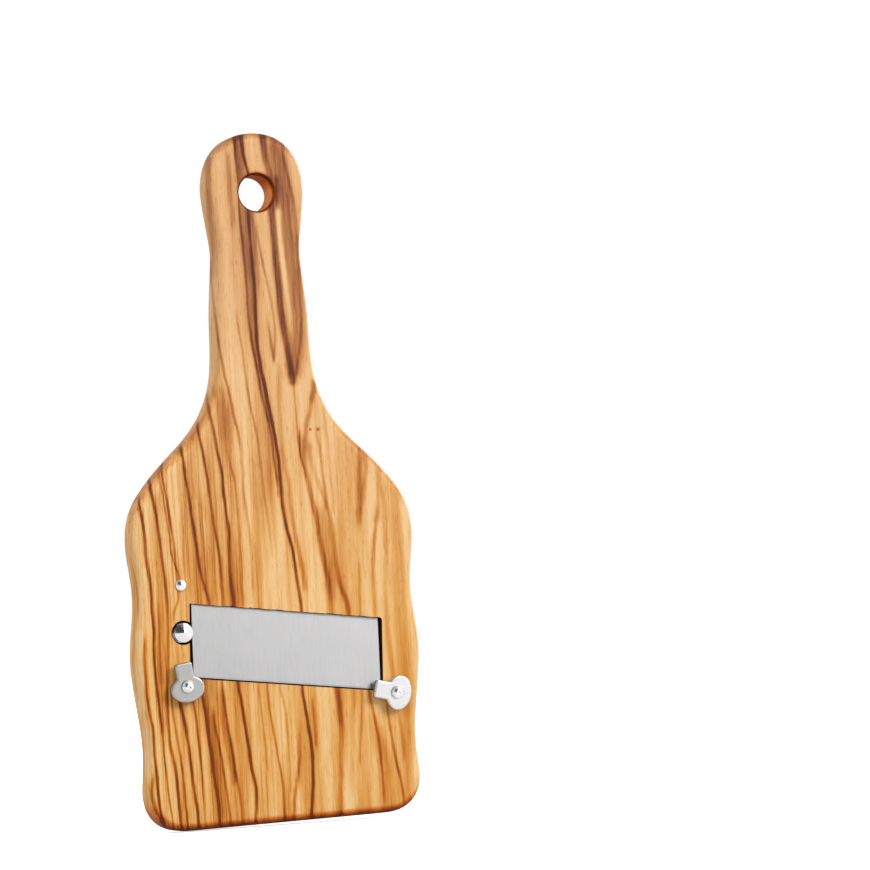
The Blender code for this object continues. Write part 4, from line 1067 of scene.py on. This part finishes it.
def makeKnob():
    low, high = nodeBox("adjusting_knob")
    rim, chamfer = knob["rimRadius"], knob["chamfer"]
    frontRim = low[1] + knob["collarHeight"]
    seatY = high[1] - knob["seatDepth"]
    corners = [
        (knob["boreRadius"], low[1]),
        (knob["collarRadius"], low[1]),
        (knob["collarRadius"], frontRim),
        (rim - chamfer, frontRim),
        (rim, frontRim + chamfer),
        (rim, high[1] - chamfer),
        (rim - chamfer, high[1]),
        (rim - chamfer - knob["seatBorder"][0], high[1]),
        (rim - chamfer - knob["seatBorder"][1], seatY),
        (knob["boreRadius"], seatY),
    ]
    profile = easeCorners(corners, knob["ease"], closed=True)

    # Flute: the radius falls by depth (1 - cos(n angle)) / 2, less the nearer it is to fluteStart
    def flutes(radius, depth, angle):
        share = np.clip((radius - knob["fluteStart"]) / knob["fluteRunIn"], 0, 1)
        return radius - share * knob["fluteDepth"] * (1 - np.cos(knob["flutes"] * angle)) / 2

    grid = turnedGrid(profile, screwX, screwZ, sides=240, ring=True, shape=flutes)
    piece = makeObject("flutedKnob", *grid, knobSteel, smoothAngle=32)
    return finishPiece(piece, "adjuster", "polished_steel", "adjusting_knob")


makeKnob()


# Lock nut: a hexagon, r = flat / cos(angle from the flat's middle), whose back corners a cone cuts
lockNut = dict(halfFlats=2.75, boreRadius=1.65, coneAngle=30, sides=72)


def makeLockNut():
    low, high = nodeBox("knob_lock_nut")
    flat, sides = lockNut["halfFlats"], lockNut["sides"]
    angle = np.linspace(0, math.tau, sides, endpoint=False)
    hexagon = flat / np.cos((angle + math.pi / 6) % (math.pi / 3) - math.pi / 6)
    bore = np.full(sides, lockNut["boreRadius"])
    inscribed = np.full(sides, flat)
    radii = np.stack([bore, inscribed, hexagon, hexagon, hexagon, inscribed, bore])
    shares = np.array([0.0, 0.0, 0.0, 0.5, 1.0, 1.0, 1.0])
    depths = low[1] + shares[:, None] * (high[1] - low[1]) + 0 * radii
    depths[4] -= (hexagon - flat) * math.tan(math.radians(lockNut["coneAngle"]))
    points = np.stack([screwX + radii * np.cos(angle), depths, screwZ + radii * np.sin(angle)], -1)
    piece = makeObject("lockNut", points, gridFaces(len(shares), sides, True), knobSteel, smoothAngle=20)
    return finishPiece(piece, "adjuster", "polished_steel", "knob_lock_nut")


makeLockNut()


# Flat washers: a rectangle with eased corners, turned
washers = dict(
    knob_washer=dict(name="knobWasher", body="spring_seat", bore=2.15, rim=4.3, ease=0.15),
    right_rear_washer=dict(name="rightRearWasher", body="frame", bore=1.65, rim=4.0, ease=0.18),
)


def makeWasher(node):
    washer = washers[node]
    low, high = nodeBox(node)
    bore, rim = washer["bore"], washer["rim"]
    section = [(bore, low[1]), (rim, low[1]), (rim, high[1]), (bore, high[1])]
    profile = easeCorners(section, washer["ease"], closed=True)
    grid = turnedGrid(profile, *axisOf(node), sides=80, ring=True)
    piece = makeObject(washer["name"], *grid, washerSteel, smoothAngle=32)
    return finishPiece(piece, washer["body"], "washer_steel", node)


for node in washers:
    makeWasher(node)

# Bush: a body in the strap and a flange behind it, with eased corners, turned
bush = dict(boreRadius=2.15, bodyRadius=3.1, flangeRadius=4.3, flangeHeight=1.6, ease=0.28)


def makeBush():
    low, high = nodeBox("threaded_bush")
    front, back = low[1], high[1]
    bore, body, flange = bush["boreRadius"], bush["bodyRadius"], bush["flangeRadius"]
    flangeY = back - bush["flangeHeight"]
    corners = [(bore, front), (body, front), (body, flangeY), (flange, flangeY), (flange, back), (bore, back)]
    profile = easeCorners(corners, bush["ease"], closed=True)
    grid = turnedGrid(profile, screwX, screwZ, sides=80, ring=True)
    piece = makeObject("threadedBush", *grid, bushBrass, smoothAngle=32)
    return finishPiece(piece, "frame", "bush_brass", "threaded_bush")


makeBush()

# Spring: a round wire carried along a helix, which stretches between the bush and the washer
spring = dict(wireRadius=0.3, meanRadius=3.0, turns=3.5, length=4.4, sides=12, stepsPerTurn=40)


# Helix c(s) = (R cos s, s rise, R sin s); the wire's circle lies in its outward and binormal directions
def makeSpring():
    low, high = nodeBox("friction_spring")
    startY = low[1]
    count = round(spring["turns"] * spring["stepsPerTurn"])
    s = np.linspace(0, math.tau * spring["turns"], count + 1)
    rise = (spring["length"] - 2 * spring["wireRadius"]) / s[-1]
    radius, wireRadius, sides = spring["meanRadius"], spring["wireRadius"], spring["sides"]
    outward = np.stack([np.cos(s), 0 * s, np.sin(s)], -1)
    tangent = np.stack([-radius * np.sin(s), rise + 0 * s, radius * np.cos(s)], -1)
    tangent /= np.linalg.norm(tangent, axis=1, keepdims=True)
    binormal = np.cross(tangent, outward)
    middle = radius * outward + (screwX, startY + wireRadius, screwZ)
    middle[:, 1] += rise * s
    turn = np.linspace(0, math.tau, sides, endpoint=False)[None, :, None]
    circle = np.cos(turn) * outward[:, None] + np.sin(turn) * binormal[:, None]
    points = middle[:, None] + wireRadius * circle
    total = (count + 1) * sides
    faces = gridFaces(count + 1, sides) + [list(range(sides)), list(range(total - sides, total))]
    piece = makeObject("frictionSpring", points, faces, springSteel, smoothAngle=50)
    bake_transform(piece)
    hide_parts("friction_spring")
    print(f"{piece.name}: {len(piece.data.polygons)} faces")


makeSpring()

# Strap on the back that holds the bush: a slot-shaped plate with rounded edges and three holes
strap = dict(width=10.0, edgeRadius=0.35, bushHole=3.25, pinHole=1.4, pivotHole=1.65)


def makeStrap():
    low, high = nodeBox("nut_bridge")
    radius = strap["width"] / 2
    middleX = (low[0] + high[0]) / 2
    turn = np.linspace(0, math.pi, 41)
    top = np.stack([middleX + radius * np.cos(turn), high[2] - radius + radius * np.sin(turn)], -1)
    bottom = np.stack([middleX - radius * np.cos(turn), low[2] + radius - radius * np.sin(turn)], -1)
    outline = np.vstack([top, bottom])
    grid = plateGrid(outline, low[1], high[1], strap["edgeRadius"], steps=4, margin=0.15)
    piece = makeObject("rearStrap", *grid, sheetSteel)
    through = (low[1] - overrun, high[1] + overrun)
    cutters = [
        drill("strapBushCutter", strap["bushHole"], screwX, screwZ, *through, sheetSteel),
        drill("strapPinCutter", strap["pinHole"], pinX, pinZ, *through, sheetSteel),
        drill("strapPivotCutter", strap["pivotHole"], leftX, leftZ, *through, sheetSteel),
    ]
    cutWith(piece, cutters)
    cleanMesh(piece.data, 30)
    return finishPiece(piece, "frame", "sheet_steel", "nut_bridge")


makeStrap()

# Rivets: a domed head in front, some with a punched centre, and a pan head behind
pivotSizes = dict(head=2.2, height=1.4, shank=1.5, rear=2.7, rearHeight=1.0, dimple=0.6)
rivets = dict(
    bridge_pin=dict(name="bridgePin", head=1.95, height=0.9, shank=1.25, rear=2.3, rearHeight=0.8, dimple=0),
    left_clip_pivot=dict(name="leftPivot", **pivotSizes),
    right_clip_pivot=dict(name="rightPivot", **pivotSizes),
)
dimpleDepth = 0.25
rivetEase = 0.15


# Dimple: the dome sinks by depth (1 - (r / dimple radius)^2)
def makeRivet(node):
    rivet = rivets[node]
    low, high = nodeBox(node)
    headY = low[1] + rivet["height"]
    dome = domeProfile(rivet["head"], rivet["height"], headY, 14)
    if rivet["dimple"]:
        dome[:, 1] += dimpleDepth * np.clip(1 - (dome[:, 0] / rivet["dimple"]) ** 2, 0, None)
    rearY = high[1] - rivet["rearHeight"]
    rear = easeCorners(
        [
            (rivet["head"], headY),
            (rivet["shank"], headY),
            (rivet["shank"], rearY),
            (rivet["rear"], rearY),
            (rivet["rear"], high[1] - rivet["rearHeight"] / 2),
            (rivet["rear"] - rivet["rearHeight"] / 2, high[1]),
            (0, high[1]),
        ],
        rivetEase,
    )
    profile = np.vstack([dome, rear[1:]])
    piece = makeObject(rivet["name"], *turnedGrid(profile, *axisOf(node), 64), rivetSteel, smoothAngle=35)
    return finishPiece(piece, "frame", "rivet_steel", node)


for node in rivets:
    makeRivet(node)

# Swivel clips: an oval head across the pivot, a tab with rounded corners, and rounded necks between them
clip = dict(
    across=5.8,
    along=4.4,
    offset=0.7,
    tabHalf=3.0,
    tabReach=8.0,
    tabCorner=1.0,
    neck=0.8,
    edgeRadius=0.6,
    boreRadius=1.65,
    restAngles=dict(left_clip=98.5, right_clip=167.0),
)


# Arc of a radius about a centre, from one angle to another
def arc(centreX, centreZ, radius, start, end, steps=8):
    angle = np.linspace(start, end, steps + 1)
    return np.stack([centreX + radius * np.cos(angle), centreZ + radius * np.sin(angle)], -1)


# The neck's arcs touch the head's ellipse: their centres lie on the ellipse that is larger by their radius
def clipOutline():
    across, along, neck = clip["across"], clip["along"], clip["neck"]
    neckZ = clip["tabHalf"] + neck
    neckReach = (along + neck) * math.sqrt(1 - (neckZ / (across + neck)) ** 2)
    neckX = neckReach - clip["offset"]
    facing = math.atan2(neckZ / (across + neck) ** 2, neckReach / (along + neck) ** 2)
    touchReach = neckReach - neck * math.cos(facing)
    touchZ = neckZ - neck * math.sin(facing)
    start = math.atan2(touchZ / across, touchReach / along)
    angle = np.linspace(start, math.tau - start, 90)
    head = np.stack([along * np.cos(angle) - clip["offset"], across * np.sin(angle)], -1)
    cornerX = clip["tabReach"] - clip["tabCorner"]
    cornerZ = clip["tabHalf"] - clip["tabCorner"]
    quarter = math.pi / 2
    return np.vstack(
        [
            head,
            arc(neckX, -neckZ, neck, math.pi - facing, quarter)[1:],
            arc(cornerX, -cornerZ, clip["tabCorner"], -quarter, 0),
            arc(cornerX, cornerZ, clip["tabCorner"], 0, quarter),
            arc(neckX, neckZ, neck, -quarter, facing - math.pi)[:-1],
        ]
    )


def makeClip(node, name, x, z, steel):
    low, high = nodeBox(node)
    angle = math.radians(clip["restAngles"][node])
    flat = clipOutline()
    turned = np.stack(
        [
            x + flat[:, 0] * math.cos(angle) - flat[:, 1] * math.sin(angle),
            z + flat[:, 0] * math.sin(angle) + flat[:, 1] * math.cos(angle),
        ],
        -1,
    )
    grid = plateGrid(turned, low[1], high[1], clip["edgeRadius"], steps=6, margin=0.25)
    piece = makeObject(name, *grid, steel)
    bore = drill(name + "Bore", clip["boreRadius"], x, z, low[1] - overrun, high[1] + overrun, steel)
    cutWith(piece, [bore])
    cleanMesh(piece.data, 30)
    return finishPiece(piece, node, "clip_steel", node)


makeClip("left_clip", "leftClip", leftX, leftZ, leftClipSteel)
makeClip("right_clip", "rightClip", rightX, rightZ, rightClipSteel)

# Waved washers under the clips: a thin ring lifted by rise (1 + cos(3 angle)) / 2
wave = dict(bore=1.65, rim=3.2, sheet=0.35, ease=0.1, waves=3, sides=96)


def makeWaveWasher(node, name):
    low, high = nodeBox(node)
    x, z = axisOf(node)
    rise = high[1] - low[1] - wave["sheet"]
    bore, rim, sheet, sides = wave["bore"], wave["rim"], wave["sheet"], wave["sides"]
    section = easeCorners([(bore, 0), (rim, 0), (rim, sheet), (bore, sheet)], wave["ease"], 2, closed=True)
    angle = np.linspace(0, math.tau, sides, endpoint=False)[None, :]
    radius = section[:, :1] + 0 * angle
    depth = low[1] + section[:, 1:2] + rise * (1 + np.cos(wave["waves"] * angle)) / 2
    points = np.stack([x + radius * np.cos(angle), depth, z + radius * np.sin(angle)], -1)
    piece = makeObject(name, points, gridFaces(len(section), sides, True), springSteel, smoothAngle=40)
    return finishPiece(piece, "frame", "spring_steel", node)


makeWaveWasher("left_clip_washer", "leftWaveWasher")
makeWaveWasher("right_clip_washer", "rightWaveWasher")
print("pieces made")

# Stage: a plain pale floor just under the foot, white at the horizon, with soft shadows near the board
floorLook = dict(
    half=4000.0,
    below=0.3,
    colour="#FFFFFF",
    shade=(0.93, 0.95),
    grain=25.0,  # mm
    glow=(0.6, 0.8),
    glowReach=(0.3, 1.0),  # metres from the origin
    bounce=0.2,  # how much of its light reaches other surfaces
)


def makeFloor():
    half = floorLook["half"]
    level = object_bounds()[0][2] / mm - floorLook["below"]
    corners = [(-half, -half, level), (half, -half, level), (half, half, level), (-half, half, level)]
    material, tree, shader = newMaterial("paleFloor")
    place = addNode(tree, "TexCoord").outputs["Object"]
    ray = addNode(tree, "LightPath")
    grain = addNode(tree, "TexNoise", {"Vector": place, "Scale": 1 / mm / floorLook["grain"]})
    shade = addNode(tree, "MapRange", [grain, 0, 1, *floorLook["shade"]])
    bounce = addNode(tree, "MapRange", [ray.outputs["Is Diffuse Ray"], 0, 1, 1.0, floorLook["bounce"]])
    shade = addNode(tree, "Math MULTIPLY", [shade, bounce])
    colour = addNode(tree, "VectorMath SCALE", {0: (1, 1, 1), 3: shade})
    away = addNode(tree, "VectorMath LENGTH", [place]).outputs["Value"]
    glow = addNode(tree, "MapRange", [away, *floorLook["glowReach"], *floorLook["glow"]])
    glow = addNode(tree, "Math MULTIPLY", [ray.outputs["Is Camera Ray"], glow])
    fillInputs(tree, shader, {"Base Color": colour, "Roughness": 0.9})
    fillInputs(tree, shader, {"Emission Color": linear(floorLook["colour"]), "Emission Strength": glow})
    makeObject("floor", corners, [[0, 1, 2, 3]], material)


makeFloor()

# Camera: the photograph's place, as fitted to the paddle's outline
camera = dict(place=(-0.42393, -1.26295, -0.14242), turn=(92.535, 3.127, -20.862), lens=165.52, sensor=36.0)


def makeCamera():
    data = bpy.data.cameras.new("photoCamera")
    data.lens = camera["lens"]
    data.sensor_width = camera["sensor"]
    data.clip_start = 0.01
    data.clip_end = 20.0
    holder = bpy.data.objects.new("photoCamera", data)
    holder.location = camera["place"]
    holder.rotation_euler = [math.radians(angle) for angle in camera["turn"]]
    scene.collection.objects.link(holder)
    scene.camera = holder


makeCamera()

# Soft studio light: a big lamp at the upper right front, a weak one at the left, which only fills shadows and
# isn't mirrored, one behind, and a pale surround
lights = (
    dict(name="keyPanel", place=(0.9, -1.3, 0.7), size=(0.7, 0.7), power=18.0, mirrored=True),
    dict(name="leftPanel", place=(-1.4, -0.7, 0.2), size=(0.8, 1.0), power=9.0, mirrored=False),
    dict(name="rearPanel", place=(1.3, 1.1, 0.5), size=(1.0, 1.0), power=18.0, mirrored=True),
)
lightAim = (0, 0, -0.1)
# Strengths of the surround by kind of ray. Mirrors see two sides of the studio behind the camera, a brighter
# one at the right and a dark one, as fades over unit directions
surround = dict(
    diffuse=0.67,
    glossy=0.72,
    bright=0.5,
    brightSide=((1, -0.05, 0.05, 1, 0), (0, 0.275, 0.295, 0, 1)),
    darkShare=0.09,
    darkSide=(
        (1, -0.05, 0.05, 1, 0),
        (0, -0.55, -0.51, 0, 1),
        (0, 0.275, 0.295, 1, 0),
        (2, -0.18, 0.06, 0, 1),
        (2, 0.65, 0.85, 1, 0),
    ),
)


def makeLights():
    for light in lights:
        data = bpy.data.lights.new(light["name"], "AREA")
        data.shape = "RECTANGLE"
        data.size, data.size_y = light["size"]
        data.energy = light["power"]
        lamp = bpy.data.objects.new(light["name"], data)
        lamp.location = light["place"]
        towards = Vector(lightAim) - lamp.location
        lamp.rotation_euler = towards.to_track_quat("-Z", "Y").to_euler()
        lamp.visible_glossy = light["mirrored"]
        scene.collection.objects.link(lamp)


def makeSurround():
    world = bpy.data.worlds.new("studio")
    world.use_nodes = True
    tree = world.node_tree
    ray = addNode(tree, "LightPath")
    axes = addNode(tree, "SeparateXYZ", [addNode(tree, "TexCoord").outputs["Generated"]])
    bright = fadeProduct(tree, axes, surround["brightSide"])
    dark = fadeProduct(tree, axes, surround["darkSide"])
    darkened = addNode(tree, "MapRange", [dark, 0, 1, 1.0, surround["darkShare"]])
    mirrored = addNode(tree, "Math MULTIPLY_ADD", [bright, surround["bright"], surround["glossy"]])
    mirrored = addNode(tree, "Math MULTIPLY", [mirrored, darkened])
    strength = addNode(tree, "Mix", {0: ray.outputs["Is Glossy Ray"], 2: surround["diffuse"], 3: mirrored})
    strength = addNode(tree, "Math MAXIMUM", [strength, ray.outputs["Is Camera Ray"]])
    fillInputs(tree, tree.nodes["Background"], {"Color": (1, 1, 1, 1), "Strength": strength})
    scene.world = world
    scene.view_settings.view_transform = "Standard"
    scene.view_settings.look = "None"


makeLights()
makeSurround()
print("stage, camera and lights made")
